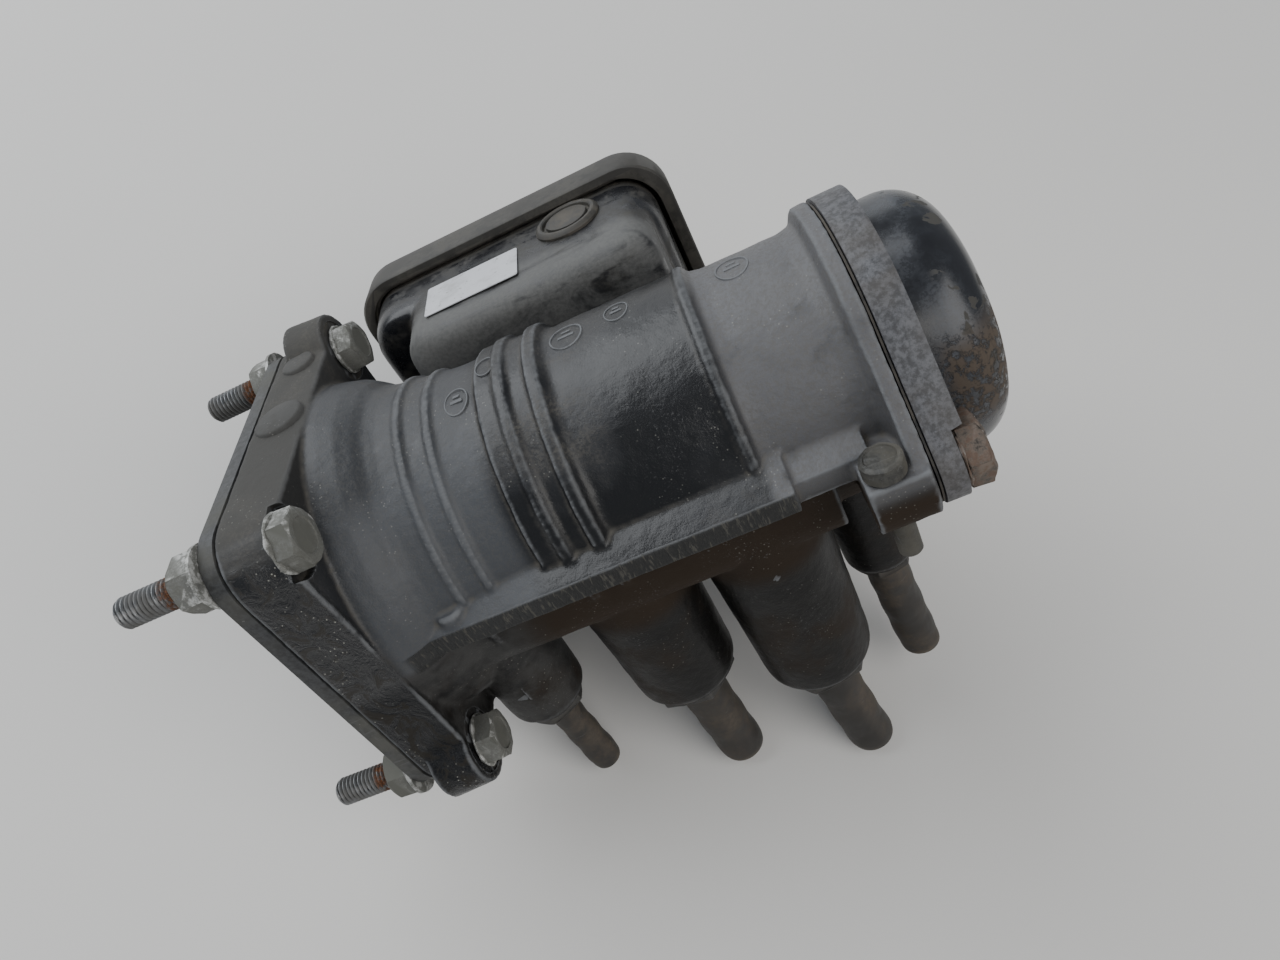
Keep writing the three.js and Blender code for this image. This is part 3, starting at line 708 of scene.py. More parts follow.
finish = {
    "cast_black": casting(),
    "pressed_black": dome_coating(),
    "zinc_steel": stud_steel(),
    "worn_steel": metal(
        "grimy steel", rgb(0.36, 0.36, 0.34), rgb(0.115, 0.115, 0.1), 0.95, 0.45, bright=0.9),
    "rusty_steel": metal(
        "rusty bolt", rgb(0.05, 0.048, 0.046), rgb(0.19, 0.15, 0.12), 0.8, 0.35, 0.5, 0.9),
    "black_rubber": plastic("black rubber", rgb(0.016, 0.016, 0.016), 0.3, DUST, 0.62, 0.5),
    "brass": metal("turned brass", rgb(0.5, 0.34, 0.12), rgb(0.075, 0.06, 0.04), 0.6, 0.35),
    "pipe_plastic": plastic(
        "pipe plastic", rgb(0.026, 0.023, 0.020), 0.8, rgb(0.1, 0.08, 0.06), 0.5, wave=1.0),
    "turned_aluminium": metal(
        "turned aluminium", rgb(0.55, 0.56, 0.57), rgb(0.12, 0.11, 0.1), 0.35, 0.35),
    "spring_steel": metal(
        "spring steel", rgb(0.25, 0.25, 0.26), rgb(0.05, 0.045, 0.04), 0.4, 0.35),
    "box_plastic": box_plastic(),
    "board_green": board_film(),
    "label_film": label_film(),
}


# ---- places read from the CAD nodes ----
PLATE = Span("mounting_plate")
BODY = Span("valve_body")
END = Span("end_flange")
DOME = Span("dome_cap")
BOX = Span("sensor_housing")
LID = Span("housing_lid")
LUG_BOLT = Span("end_flange_bolt_1")
FLANGE_END = 20.0
HALF = PLATE.high.y
CORNER_R = 13.0
BOLTS = {key: Span("flange_nut_" + key).mid for key in "abcd"}
PORTS = {
    key: {
        "x": Span("port_fitting_" + key).mid.x,
        "z": Span("port_fitting_" + key).mid.z,
        "fitting": Span("port_fitting_" + key),
        "pipe": Span("pipe_stub_" + key),
    }
    for key in "1234"
}
BOLT_HOLE_R = 4.3
LUG_R = 10
LUG_HOLE_R = 5.3
HEX_CORNER = 7.5
BOSS_R = {"1": 17.0, "2": 16.0, "3": 12.5, "4": 11.0}
PIPE_R = {"1": 7.4, "2": 7.4, "3": 5.0, "4": 6.6}
LEAN = {"1": 4.0, "2": 2.0, "3": 2.0, "4": 2.0}


# ---- shared pieces ----
def thread(x0, x1, radius, pitch=1.25, sides=40):
    """Solid thread along x with a crest at radius, running out into a chamfer at x0."""
    depth = 0.55 * pitch
    rows = round((x1 - x0) / pitch * 9)
    points = [(x0, 0.0, 0.0)]
    for k in range(rows + 1):
        x = x0 + (x1 - x0) * k / rows
        chamfer = max(0.0, 1.0 - (x - x0)) * 0.9
        for i in range(sides):
            turn = 2 * math.pi * i / sides
            phase = (x / pitch - i / sides) % 1.0
            groove = depth * (1 - min(1.0, 2.4 * abs(phase - 0.5)))
            r = radius - max(groove, chamfer)
            points.append((x, r * math.cos(turn), r * math.sin(turn)))
    points.append((x1, 0.0, 0.0))
    faces = []
    for i in range(sides):
        j = (i + 1) % sides
        faces.append((0, 1 + j, 1 + i))
        for k in range(rows):
            a = 1 + k * sides
            faces.append((a + i, a + j, a + sides + j, a + sides + i))
        a = 1 + rows * sides
        faces.append((a + i, a + j, len(points) - 1))
    return points, faces


def hex_head(x0, x1, corner, flat_end, turn):
    """Hexagon along x with one end chamfered."""
    head = solid_object("head", prism(hexagon(corner, turn), x0, x1))
    flat = corner * math.cos(math.pi / 6)
    slope = (corner - flat * 0.93) * 0.6
    if flat_end == "high":
        cone = turned([(x0 - 1, corner + 2), (x1 - slope, corner), (x1, flat * 0.93)], 64)
    else:
        cone = turned([(x0, flat * 0.93), (x0 + slope, corner), (x1 + 1, corner + 2)], 64)
    combined(head, "INTERSECT", cone)
    return bevelled(head, 0.6, 3)


def joined(name, *objects):
    """One object from several."""
    bm = bmesh.new()
    for obj in objects:
        bm.from_mesh(obj.data)
        bpy.data.objects.remove(obj)
    return mesh_object(name, bm)


def shifted(obj, x=0.0, y=0.0, z=0.0):
    obj.data.transform(Matrix.Translation(Vector((x, y, z)) * MM))
    return obj


# ---- the casting ----
def lug_outline(disc, lug, centre, count=10):
    """Disc with two round lugs at (y, +-z), joined to it by tangent lines, in (y, z)."""
    y, z = centre
    lean = math.degrees(math.atan2(y, z))
    opening = math.degrees(math.acos((disc - lug) / math.hypot(y, z)))
    upper = arc(z, y, lug, lean - opening, lean + opening, count)
    top = arc(0, 0, disc, lean + opening, 180 - lean - opening, 8)
    lower = arc(-z, y, lug, 180 - lean - opening, 180 - lean + opening, count)
    under = arc(0, 0, disc, 180 - lean + opening, 360 + lean - opening, 40)
    return [(v, u) for u, v in upper + top + lower + under][::-1]


def barrel():
    """Stepped round body: (x, radius) from the flange to the end flange."""
    profile = [
        (15, 46.5), (20, 48.6), (23, 48.0), (27.5, 46.6), (30.8, 44.6), (33, 42.6), (36, 41.5),
        (40.6, 40.9), (41.2, 41.5), (42.6, 41.4), (43.4, 40.2), (48.2, 39.6), (48.9, 40.3),
        (50.4, 40.2), (51.2, 39.1), (56, 38.6), (63.2, 38.3), (63.9, 40.1), (68.4, 40.0),
        (69.6, 40.9), (71.8, 40.8), (72.8, 39.5), (77, 39.3), (78.0, 40.6), (80.8, 40.5),
        (82.4, 38.2), (84, 37.8), (118.6, 37.6), (119.6, 38.5), (121.4, 38.3), (122.8, 36.1),
        (126, 35.5), (147, 35.4), (151, 36.2), (152.6, 39.5),
    ]
    return turned(profile + offset(BODY.high.x, (-0.6, 40.0), (0, 39.4)), 176)


def port_boss(key):
    """Tapered boss of a port, with a soft rim."""
    port = PORTS[key]
    radius, reach = BOSS_R[key], port["fitting"].high.y - 3
    profile = [(0, radius + 2.4), (reach * 0.6, radius + 0.7), (reach - 6, radius + 0.1)]
    profile += [(reach - 3.4, radius - 0.1), (reach - 0.4, radius - 2.2), (reach, radius - 2.8)]
    return upright(turned(profile, 72), port["x"], port["z"])


def body_solids():
    low = PLATE.high.x + 0.3
    flange = loft([
        (low, rounded(-HALF, HALF, -HALF, HALF, CORNER_R)),
        (low + 3, rounded(-HALF, HALF, -HALF, HALF, CORNER_R)),
        (FLANGE_END, rounded(-HALF + 0.9, HALF - 0.9, -HALF + 0.9, HALF - 0.9, CORNER_R - 0.5)),
    ])
    ledge_edge = [(-12, -24), (-6.2, -35.4), (-3.4, -41), (-0.9, -45.2), (4.9, -45.2), (4.9, -24)]
    ledge = prism(ledge_edge, 25.5, 127)
    ledge_foot = upright(turned([(-1.2, 0), (-0.9, 7), (4.9, 7)], 32), 26, -38.2)
    thin = prism([(-11, -22), (-5, -33.5), (-1.2, -42.2), (5, -42.2), (5, -24)], 118, 146)
    centre = (LUG_BOLT.mid.y, LUG_BOLT.mid.z)
    lugs = prism(lug_outline(39.8, LUG_R, (centre[0], -centre[1])), 152.8, BODY.high.x)
    near_lug = prism(rounded(0.2, centre[0] + 9.6, -54, -30, 7), 141.5, BODY.high.x - 0.4)
    square = block(141.5, BODY.high.x - 0.4, 0.2, 8, -53.8, -34)
    far_lug = moved(rod(146, 156, LUG_R, 40), 0, centre[0], -centre[1])
    far_web = block(140, 155.6, -1, 15, 25, 42)
    port_block = prism(rounded(-6, 26, -38.5, 30, 9), 17, 136)
    web = block(126, 148, 0, 24, -24, 12)
    pad = block(38, 116, -22, 22, 24, 41.5)
    boss = upright(turned([(-4.8, 3.6), (-4.3, 4.2), (2, 4.6)], 32), 37.5, -40)
    stiff_rib = block(14, 34, -3, 3, 38, 47)
    ear = turned([(8, 12.4), (FLANGE_END, 11.6)], 48)
    ears = [moved(ear, 0, place.y, place.z) for key, place in BOLTS.items() if key != "b"]
    return [
        barrel(), flange, ledge, ledge_foot, thin, lugs, near_lug, square, far_lug, far_web,
        port_block, web, pad, boss, stiff_rib, *ears, *(port_boss(key) for key in PORTS),
    ]


def body_hollows():
    """Bores, sockets, bolt holes and the milled seats of the bolt heads."""
    bore = turned([(0, 30), (78, 30), (78, 11), (84, 11), (84, 28), (160, 28)], 64)
    sockets = []
    for key, port in PORTS.items():
        fitting = port["fitting"]
        radius = BOSS_R[key] - 2.9
        socket = rod(fitting.low.y - 0.3, fitting.high.y + 9, radius, 48)
        sockets.append(upright(socket, port["x"], port["z"]))
    seats = []
    for key, place in BOLTS.items():
        deep = FLANGE_END - 2.3 if key == "b" else FLANGE_END - 0.5
        seats.append(moved(turned([(deep, 9.3), (34, 10.2)], 48), 0, place.y, place.z))
        seats.append(moved(rod(0, 25, BOLT_HOLE_R, 24), 0, place.y, place.z))
    holes = [
        moved(rod(148, 160, LUG_HOLE_R, 24), 0, LUG_BOLT.mid.y, side * LUG_BOLT.mid.z)
        for side in (1, -1)
    ]
    screw = Span("lug_screw")
    holes.append(upright(rod(-2, 30, 3.3, 24), screw.mid.x, screw.mid.z))
    return [bore, *sockets, *seats, *holes]


def cast_mark(x, turn, radius, width, height, bar):
    """Generic raised oval on the barrel, its long side round the barrel, with two plain bars if bar."""
    points, faces = [], []
    around, across = 28, 6
    for i in range(around):
        a = 2 * math.pi * i / around
        for j in range(across):
            b = 2 * math.pi * j / across
            reach = 1 + 0.09 * math.cos(b)
            u, v = width * math.cos(a) * reach, height * math.sin(a) * reach
            points.append((u, v, 0.7 * math.sin(b)))
            row, next_row = i * across, (i + 1) % around * across
            next_j = (j + 1) % across
            faces.append((row + j, next_row + j, next_row + next_j, row + next_j))
    solids = [(points, faces)]
    if bar:
        solids.append(block(-width * 0.5, width * 0.5, -0.5, 0.5, -0.3, 0.5))
        solids.append(block(-width * 0.28, width * 0.28, -height * 0.5, -height * 0.5 + 0.8, -0.3, 0.5))
    placed = []
    for points, faces in solids:
        bent = []
        for u, v, w in points:
            angle = math.radians(turn) + v / radius
            r = radius + w
            bent.append((x + u, r * math.cos(angle), r * math.sin(angle)))
        placed.append((bent, faces))
    return placed


def make_body():
    body = solid_object("body_casting", *body_solids())
    remeshed(body, 0.6, 3)
    roughened(body, 0.16, 7, 2.0)
    roughened(body, 0.07, 1.8, 5.0)
    combined(body, "DIFFERENCE", *body_hollows())
    marks = [
        upright(turned([(-HALF - 0.9, 6.2), (-HALF - 0.5, 6.9), (-49, 7.2)], 48), 12.2, 2),
        upright(turned([(-HALF - 0.7, 4.4), (-HALF - 0.3, 4.9), (-49, 5.1)], 40), 12.2, 30),
    ]
    for x, turn, radius, width, height in (
        (58, -170, 38.2, 3.2, 4.6), (67.2, 180, 39.8, 2.6, 3.8), (89, 178, 37.4, 4.4, 5.4),
        (103, 176, 37.3, 3.2, 4.4), (133.5, 176, 35.1, 4.2, 5.4),
    ):
        marks += cast_mark(x, turn, radius, width, height, bar=width > 3)
    added(body, *marks)
    finished(body, "cast_black", "valve_body", sharp=50)


def make_plate():
    """Sheet under the flange, with a round opening for the plunger and its bush."""
    outline = rounded(-HALF, HALF, -HALF, HALF, CORNER_R, 14)
    plate = solid_object("flange_plate", prism(outline, PLATE.low.x, PLATE.high.x))
    holes = [moved(rod(-1, 5, BOLT_HOLE_R, 32), 0, p.y, p.z) for p in BOLTS.values()]
    combined(plate, "DIFFERENCE", rod(-1, 5, 15, 96), *holes)
    bevelled(plate, 0.7, 3)
    coating = coated("plate coating", rgb(0.03, 0.031, 0.033), 0.85, rgb(0.1, 0.098, 0.085),
                     gloss=0.5, chips=0.3, scratches=0.5, grain=0.6, rub=0.9)
    finished(plate, "cast_black", "mounting_plate", material=coating)


def make_flange_fasteners():
    """M8 bolts and flanged nuts; each hexagon sits at its own angle."""
    for key, turn in zip("abcd", (8, 22, 41, 15)):
        bolt, nut = Span("flange_bolt_" + key), Span("flange_nut_" + key)
        head_low = bolt.high.x - 6.0
        head = hex_head(head_low + 0.6, bolt.high.x, HEX_CORNER, "high", turn)
        collar = solid_object("collar", turned(offset(head_low, (0, 7.4), (0.5, 7.6), (0.9, 7.2)), 64))
        dish = turned([(bolt.high.x - 0.35, 4.4), (bolt.high.x + 1, 5.0)], 48)
        combined(head, "DIFFERENCE", dish)
        whole = joined("flange_bolt_head_" + key, head, collar)
        shifted(whole, y=nut.mid.y, z=nut.mid.z)
        roughened(whole, 0.4, 3.0, turn)
        finished(whole, "zinc_steel", material=finish["worn_steel"])
        plain = rod(2.0, head_low + 0.2, 3.9, 32)
        shank = solid_object("flange_stud_" + key, thread(bolt.low.x, 2.0, 4.0), plain)
        shifted(shank, y=nut.mid.y, z=nut.mid.z)
        finished(shank, "zinc_steel", "flange_bolt_" + key, sharp=60)

        hexagonal = hex_head(nut.low.x, nut.high.x - 1.3, HEX_CORNER, "low", turn + 13)
        skirt = offset(nut.high.x, (-2.4, 0), (-2.2, 6.6), (-1.0, 8.1), (0, 8.1))
        washer = solid_object("washer", turned(skirt, 64))
        whole = joined("flanged_nut_" + key, hexagonal, washer)
        bore = offset(nut.low.x, (-1, 4.9), (0.9, 4.1)) + offset(nut.high.x, (1, 4.1))
        combined(whole, "DIFFERENCE", turned(bore, 40))
        shifted(whole, y=nut.mid.y, z=nut.mid.z)
        roughened(whole, 0.25, 2.6, turn)
        finished(whole, "worn_steel", "flange_nut_" + key)


def make_end():
    """End flange with its two lugs, gasket, dome and rusty bolts."""
    centre = (LUG_BOLT.mid.y, -LUG_BOLT.mid.z)
    seat = END.high.x - 2.7
    plate = solid_object("end_ring", prism(lug_outline(40.2, LUG_R, centre), END.low.x, END.high.x))
    cuts = [turned([(150, 37.8), (160.2, 37.8), (160.2, 35.1), (200, 35.1)], 128)]
    for side in (1, -1):
        z = side * centre[1]
        cuts.append(moved(turned([(seat, 11.6), (seat + 9, 12.4)], 48), 0, centre[0], z))
        cuts.append(moved(rod(150, 175, LUG_HOLE_R, 32), 0, centre[0], z))
    combined(plate, "DIFFERENCE", *cuts)
    bevelled(plate, 0.6, 3)
    coating = coated("end flange coating", rgb(0.082, 0.083, 0.09), 0.35, rgb(0.095, 0.08, 0.063),
                     gloss=0.5, chips=0.12, scratches=0.15, grain=1.0, rub=0.6)
    finished(plate, "cast_black", "end_flange", material=coating)

    gasket = Span("end_gasket")
    outline = lug_outline(39.3, 9.4, centre)
    sheet = solid_object("flange_gasket", prism(outline, gasket.low.x, gasket.high.x))
    combined(sheet, "DIFFERENCE", rod(150, 170, 29, 96))
    finished(sheet, "black_rubber", "end_gasket")

    bend, radius, wall = 13.0, 34.8, 2.2
    top = DOME.high.x - 1.4 - bend
    outer = offset(DOME.low.x, (0, radius + 2.4), (2, radius + 2.4), (2.4, radius))
    outer.append((165, radius))
    inner = [(DOME.low.x, radius - wall)]
    for i in range(15):
        turn = math.radians(90 * i / 14)
        outer.append((top + bend * math.sin(turn), radius - bend + bend * math.cos(turn)))
        inner.append((top + (bend - wall) * math.sin(turn), radius - bend + (bend - wall) * math.cos(turn)))
    outer += offset(DOME.high.x, (-0.9, 15), (-0.15, 8), (0, 0))
    inner += offset(DOME.high.x, (-wall, 8), (-wall, 0))
    shell = solid_object("domed_end", turned(outer[::-1] + inner, 160))
    roughened(shell, 0.25, 16, 3.0)
    finished(shell, "pressed_black", "dome_cap")

    for number, turn in ((1, 17), (2, 44)):
        node = "end_flange_bolt_" + str(number)
        bolt = Span(node)
        low = seat + 0.3
        head = hex_head(low + 0.7, bolt.high.x, 9.2, "high", turn)
        collar = solid_object("collar", rod(low, low + 0.9, 8.6, 64),
                              rod(bolt.low.x, low + 0.4, 4.9, 32))
        whole = joined("cap_bolt_" + str(number), head, collar)
        bevelled(whole, 0.5, 2)
        shifted(whole, y=bolt.mid.y, z=bolt.mid.z)
        roughened(whole, 0.6, 3.2, number)
        finished(whole, "rusty_steel", node)


def make_lug_screw():
    screw = Span("lug_screw")
    low = screw.low.y
    head = offset(low, (0.35, 3.6), (0, 3.9), (0.05, 4.5), (0.6, 5.1), (3.6, 5.2), (4.6, 5.2), (4.6, 3.0))
    head.append((screw.high.y, 3.0))
    whole = solid_object("lug_plug_screw", upright(turned(head, 64), screw.mid.x, screw.mid.z))
    roughened(whole, 0.25, 2.4, 4.0)
    coating = coated("lug screw coating", rgb(0.035, 0.034, 0.03), 1.0, rgb(0.085, 0.078, 0.062),
                     gloss=0.55, chips=0.3, scratches=0.6, grain=0.9, rub=0.8)
    finished(whole, "worn_steel", "lug_screw", material=coating)


# ---- ports ----
def pipe_solid(key):
    """Cut pipe, slightly wavy, open through its middle."""
    port = PORTS[key]
    radius, wall, lean = PIPE_R[key], 1.8, LEAN[key]
    start, end = port["pipe"].low.y, port["pipe"].high.y
    rows, sides = 44, 40
    points, faces = [], []
    for surface, (size, direction) in enumerate(((radius, 1), (radius - wall, -1))):
        for k in range(rows + 1):
            t = k / rows if direction > 0 else 1 - k / rows
            y = start + (end - start) * t
            free = max(0.0, (y - port["fitting"].high.y) / (end - port["fitting"].high.y))
            sway = lean * free * (0.55 + 0.45 * free)
            size_here = size
            if free and not surface:
                size_here += 0.16 * math.sin(free * 21 + float(key)) * min(1.0, 5 * free)
            if k in (0, rows):
                size_here -= 0.25 * direction
            for u, v in arc(0, 0, size_here, 0, 360 - 360 / sides, sides - 1):
                points.append((port["x"] + sway + u, y, port["z"] - sway * 0.9 + v))
    total = 2 * (rows + 1)
    for k in range(total):
        a, b = k * sides, ((k + 1) % total) * sides
        for i in range(sides):
            j = (i + 1) % sides
            faces.append((a + i, a + j, b + j, b + i))
    return points, faces


def make_ports():
    dusty = coated("fitting coating", rgb(0.014, 0.013, 0.012), 0.5, rgb(0.05, 0.036, 0.024),
                   gloss=0.5, chips=0.6, scratches=0.3, grain=0.7, rub=0.9)
    for key, port in PORTS.items():
        fitting = port["fitting"]
        radius = BOSS_R[key] - 3.3
        face = fitting.high.y
        corner = radius + 1.9
        collar = prism(hexagon(corner, 20.0 * float(key)), face - 4.2, face)
        whole = solid_object("port_collar_" + key, about_y(collar))
        dressed = offset(face, (-9, corner + 1), (-1.6, corner), (0, radius * 0.82))
        combined(whole, "INTERSECT", about_y(turned(dressed, 72)))
        bevelled(whole, 0.4, 2)
        combined(whole, "UNION", about_y(rod(fitting.low.y, face - 4, radius, 72)))
        pipe_r = PIPE_R[key]
        bore = offset(fitting.low.y, (-1, pipe_r - 2), (6, pipe_r - 2), (6, pipe_r + 0.3))
        bore += offset(face, (-1, pipe_r + 0.35), (1, pipe_r + 1.4))
        combined(whole, "DIFFERENCE", about_y(turned(bore, 56)))
        shifted(whole, x=port["x"], z=port["z"])
        roughened(whole, 0.2, 3.0, float(key))
        finished(whole, "brass", "port_fitting_" + key, material=dusty)
        pipe = solid_object("cut_pipe_" + key, pipe_solid(key))
        finished(pipe, "pipe_plastic", "pipe_stub_" + key, sharp=50)


# ---- electronics housing ----
def grown(span, by, radius, count=8):
    """The span's outline in (x, y), pushed outwards by a distance."""
    low, high = span.low, span.high
    return rounded(low.x - by, high.x + by, low.y - by, high.y + by, radius, count)


def foot_outline(inset):
    """Outline of the block under the box, in (x, y)."""
    return rounded(37 + inset, 118 - inset, BOX.low.y + 0.1 + inset, 30 - inset, 9)


def make_housing():
    """Moulded box: a drafted main wall over a narrower block with a round lower edge."""
    low, high = BOX.low, BOX.high
    r = 12.0
    main = along_z(loft([
        (z, rounded(low.x + i, high.x - i, low.y + 0.6 * i, high.y - i, r))
        for z, i in ((54.6, 4.5), (55.6, 2.2), (57.5, 1.0), (61, 0.4), (high.z, 0.0))
    ]))
    lower = []
    for turn in range(90, -1, -15):
        a = math.radians(turn)
        inset = 0.5 + 6 * (1 - math.cos(a))
        lower.append((low.z + 6 - 6 * math.sin(a), foot_outline(inset)))
    lower.append((62, foot_outline(0.0)))
    block_low = along_z(loft(lower))
    plug = Span("vent_plug")
    socket = Span("connector_socket")
    boss = turned(offset(low.y, (0.3, 12), (1.6, 14.4), (6, 15.5)), 72)
    boss = upright(boss, plug.mid.x, plug.mid.z)
    housing = solid_object("electronics_box", main, block_low, boss)
    remeshed(housing, 0.8, 4)
    roughened(housing, 0.25, 14, 6.0)
    wall = 2.5
    cuts = [
        along_z(prism(grown(BOX, -wall, r - wall), 57.4, high.z + 5)),
        along_z(prism(rounded(39.8, 115.2, low.y + 3, 27, 6), 53.9, 60)),
        block(36, 119, -22.3, 31, 30, 41.8),
        turned([(30, 41.4), (82.4, 41.4), (82.4, 38.9), (125, 38.9)], 96),
    ]
    cuts.append(upright(rod(low.y - 2, low.y + 5, 8, 48), plug.mid.x, plug.mid.z))
    cuts.append(upright(rod(high.y - 5, high.y + 2, 9.4, 48), socket.mid.x, socket.mid.z))
    for i in range(1, 5):
        screw = Span("housing_screw_" + str(i))
        cuts.append(moved(along_z(rod(36, 54.5, 2.3, 24)), screw.mid.x, screw.mid.y, 0))
    combined(housing, "DIFFERENCE", *cuts)
    finished(housing, "box_plastic", "sensor_housing", sharp=50)


def make_lid():
    """Flat hollow lid whose rim hangs over the box, with a groove for the top of the box's wall."""
    low, high = LID.low, LID.high
    r = 15.0
    rim = offset(low.z, (0, 0.5), (0.8, 0.0))
    rim += offset(high.z, (-3.0, 0.3), (-1.4, 0.9), (-0.4, 2.2), (0, 4.0))
    outer = along_z(loft([(z, grown(LID, -i, r - i * 0.5, 12)) for z, i in rim]))
    lid = solid_object("box_lid", outer)
    channel = offset(low.z, (-1, 1.6), (2.6, 1.2))
    groove = along_z(loft([(z, grown(BOX, i, 12 + i, 12)) for z, i in channel]))
    hollow = along_z(prism(grown(LID, -4.5, r - 4, 10), low.z + 2, high.z - 2.5))
    combined(lid, "DIFFERENCE", groove, hollow)
    bevelled(lid, 0.5, 2, 50)
    finished(lid, "box_plastic", "housing_lid")


def make_plug_and_label():
    plug = Span("vent_plug")
    low, high = plug.low.y, plug.high.y
    disc = offset(low, (0.3, 6.6), (1.3, 6.9), (1.3, 7.7), (0.3, 8.0), (0, 8.4), (0, 9.3))
    disc += offset(low, (0.5, 10.0), (1.1, 10.4))
    disc += offset(BOX.low.y, (0.2, 10.4), (0.2, 7.6))
    disc.append((high, 7.6))
    whole = solid_object("round_plug", upright(turned(disc, 96), plug.mid.x, plug.mid.z))
    moulding = plastic("plug plastic", rgb(0.030, 0.029, 0.026), 0.7, rgb(0.075, 0.068, 0.055), 0.5)
    finished(whole, "box_plastic", "vent_plug", material=moulding, sharp=25)

    label = Span("rating_label")
    y = label.low.y + 0.3
    outline = rounded(label.low.z, label.high.z, label.low.x, label.high.x, 0.8, 3)
    film = solid_object("blank_label", about_y(prism(outline, y, y + 0.25)))
    finished(film, "label_film", "rating_label")


def make_connector():
    """Round electrical socket at the back of the box, with ribs and pins."""
    cup = Span("connector_socket")
    low, high = cup.low.y, cup.high.y
    wall = BOX.high.y
    profile = [(wall + 4, 8.6)] + offset(high, (-0.4, 8.6), (0, 9.0), (0, 9.9), (-0.6, 10.4))
    profile += offset(wall, (2.6, 10.4), (2.5, 11.0), (2.0, 11.6), (0.3, 11.6), (0.3, 9.0))
    profile += [(low, 9.0), (low, 7.0), (low + 2, 7.0)]
    shell = about_y(turned(profile, 72))
    rib = prism([(-0.8, -0.8), (0.8, -0.8), (0.8, 0.8), (-0.8, 0.8)], wall + 3, high - 3)
    pin = turned(offset(wall, (3.6, 0.8), (10, 0.8), (10.6, 0.4)), 16)
    ribs, pins = [], []
    for k in range(4):
        a = math.radians(45 + 90 * k)
        ribs.append(upright(rib, 10.4 * math.sin(a), 10.4 * math.cos(a)))
    for k in range(5):
        a = math.radians(72 * k)
        pins.append(upright(pin, 4.6 * math.sin(a), 4.6 * math.cos(a)))
    whole = solid_object("box_socket", shell, *ribs)
    shifted(whole, x=cup.mid.x, z=cup.mid.z)
    finished(whole, "pipe_plastic", "connector_socket")
    contact = solid_object("socket_pins", *pins)
    shifted(contact, x=cup.mid.x, z=cup.mid.z)
    finished(contact, "brass")


# ---- plunger ----
def make_plunger():
    """What the pedal pushes: a plunger in a brass bush, with a rubber boot between them."""
    ram = Span("plunger")
    x0, x1 = ram.low.x, ram.high.x
    profile = offset(x0, (0, 0), (0.1, 3.5), (0.5, 6.2), (1.5, 8.8), (3, 10.4), (4.4, 11))
    profile += offset(x0, (8, 11), (8.5, 10.6), (8.5, 8))
    profile += [(24.4, 8), (24.4, 21.6), (24.9, 22), (27.6, 22), (28, 21.6), (28, 10), (x1, 9)]
    whole = solid_object("push_rod", turned(profile, 96))
    finished(whole, "turned_aluminium", "plunger", body="plunger", sharp=30)
    bush = Span("plunger_bush")
    section = offset(bush.low.x, (0.5, 8.3), (0, 8.9), (0, 18.4), (0.6, 19))
    section += [(-0.3, 19), (-0.3, 14.6), (bush.high.x, 14.6), (bush.high.x, 8.3)]
    guide = solid_object("guide_bush", ring(section, 96))
    finished(guide, "brass", "plunger_bush", sharp=30)
    section = offset(
        Span("dust_boot").low.x,
        (0, 13.0), (1.1, 14.9), (2.4, 16.0), (3.6, 15.1), (5.0, 13.6), (6.6, 15.6), (8.0, 18.0),
        (10.6, 18.9), (12, 19), (12, 17.8), (9, 17.1), (7.6, 15.4), (5.2, 12.2), (3.6, 13.6),
        (2.4, 14.4), (1, 12.8), (0, 11.6),
    )
    bellows = solid_object("boot_rubber", ring(section, 96))
    finished(bellows, "black_rubber", "dust_boot", sharp=60)


def finish_inner_nodes():
    """Pieces that the housing hides keep their CAD shape and take a full material."""
    slots = {part["node"]: part["material_slot"] for part in frame["record"]["subparts"]}
    for node, obj in frame["nodes"].items():
        obj.data.materials.clear()
        obj.data.materials.append(finish[slots[node]])


def make_springs():
    """The springs that close as the plunger goes in, each towards the piece that its far end rests on."""
    travel = {j["name"]: j["range_m"][1] / MM for j in frame["record"]["behaviour"]["joints"]}
    piston = travel["primary_piston_slide"]
    closes = {
        "graduating_spring": ("primary_piston", travel["plunger_press"] - piston),
        "primary_return_spring": ("body", piston),
        "primary_valve_spring": ("primary_valve", 0.0),
        "relay_return_spring": ("body", travel["relay_piston_slide"]),
        "secondary_valve_spring": ("body", travel["secondary_valve_lift"]),
    }
    for node, (rests_on, closing) in closes.items():
        coil = linked(node + "_coil", frame["nodes"][node].data.copy())
        coil.data.shade_smooth()
        coil.data.materials.clear()
        coil.data.materials.append(finish["spring_steel"])
        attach(coil, rests_on)
        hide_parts(node)
        if closing:
            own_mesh(coil)


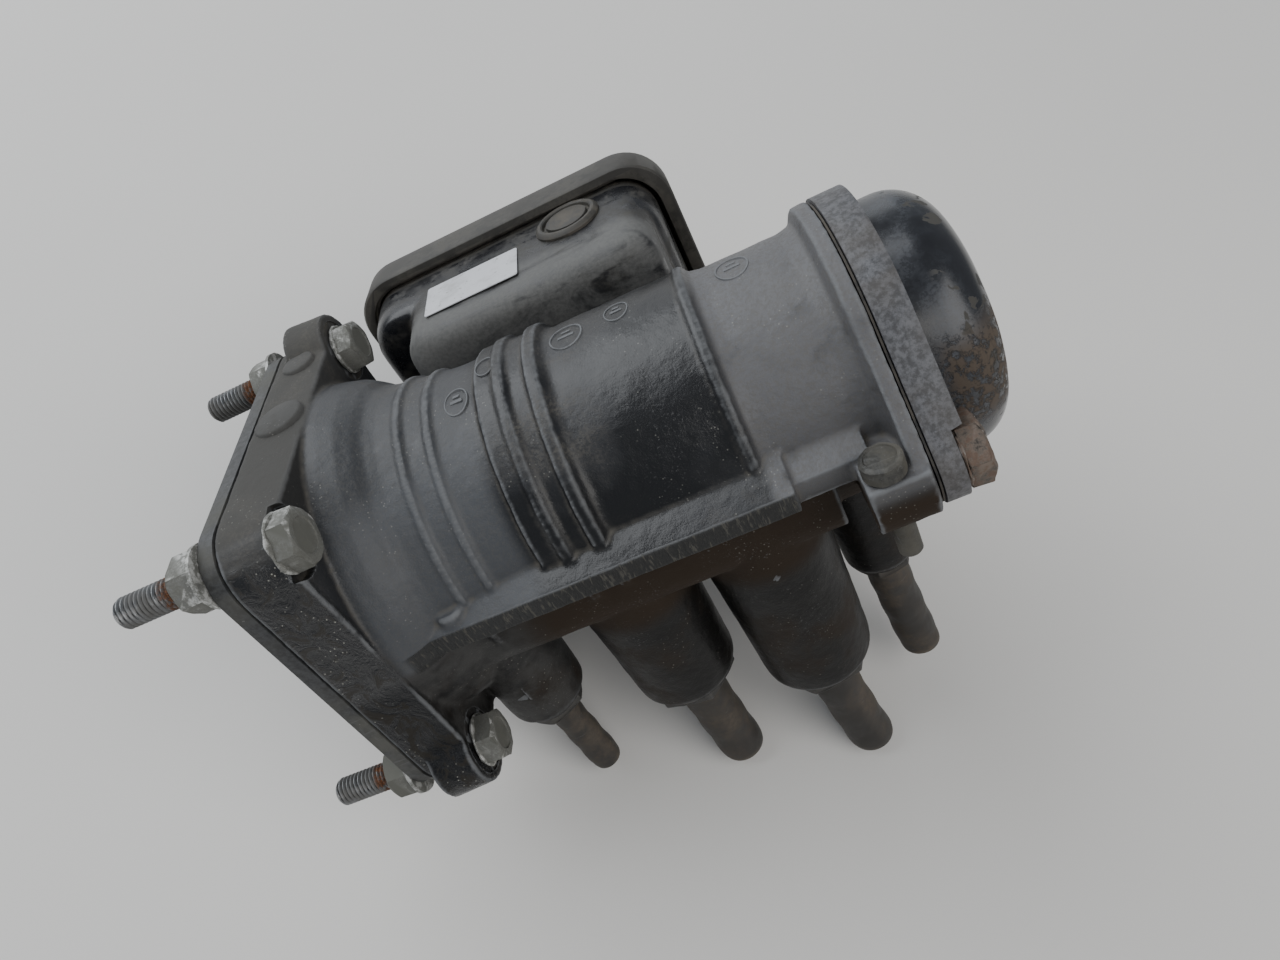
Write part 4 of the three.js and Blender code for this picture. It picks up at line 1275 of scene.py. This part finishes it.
# ---- stage ----
def make_stage():
    bpy.ops.mesh.primitive_plane_add(size=6, location=(0, 0, 0))
    floor = bpy.context.object
    floor.name = "floor"
    floor.data.materials.append(floor_paper())

    world = bpy.data.worlds.new("studio")
    bpy.context.scene.world = world
    world.use_nodes = True
    world.node_tree.nodes["Background"].inputs["Color"].default_value = rgb(0.86, 0.92, 1.0)
    world.node_tree.nodes["Background"].inputs["Strength"].default_value = 0.3

    def panel(name, place, size, power, colour):
        data = bpy.data.lights.new(name, "AREA")
        data.shape = "RECTANGLE"
        data.size, data.size_y = size
        data.energy = power
        data.color = colour
        lamp = linked(name, data)
        lamp.location = place
        lamp.rotation_euler = (Vector((0, 0, 0.06)) - Vector(place)).to_track_quat("-Z", "Y").to_euler()

    panel("window", (-0.75, 0.75, 1.0), (1.6, 1.2), 20, (0.94, 0.97, 1.0))
    panel("ceiling", (0.5, -0.65, 1.2), (1.3, 1.0), 9, (1.0, 0.98, 0.95))
    panel("horizon", (-0.3, 1.5, 0.35), (2.0, 0.6), 3.5, (0.94, 0.97, 1.0))
    panel("bounce", (1.0, -0.7, 0.5), (0.8, 0.8), 1.5, (1.0, 0.95, 0.88))


def make_camera():
    """Looks down at 63 degrees from close by, as a hand-held photo does."""
    data = bpy.data.cameras.new("camera")
    camera = linked("camera", data)
    data.sensor_width = 36.0
    data.lens = 25.8
    data.clip_start = 0.01
    right = Vector((0.9081, 0.4037, -0.1113))
    down = Vector((-0.3823, 0.6907, -0.6139))
    ahead = Vector((-0.1709, 0.6, 0.7815))
    turn = Matrix((right, -down, -ahead)).transposed().to_4x4()
    place = Matrix.Translation(Vector((131.7, -143.8, -203.6)) * MM)
    loc, rot, _ = (VALVE @ place @ turn).decompose()
    camera.location = loc
    camera.rotation_mode = "QUATERNION"
    camera.rotation_quaternion = rot
    bpy.context.scene.camera = camera


make_stage()
make_camera()
finish_inner_nodes()
make_body()
make_plate()
make_flange_fasteners()
make_end()
make_lug_screw()
make_ports()
make_housing()
make_lid()
make_plug_and_label()
make_connector()
make_plunger()
make_springs()
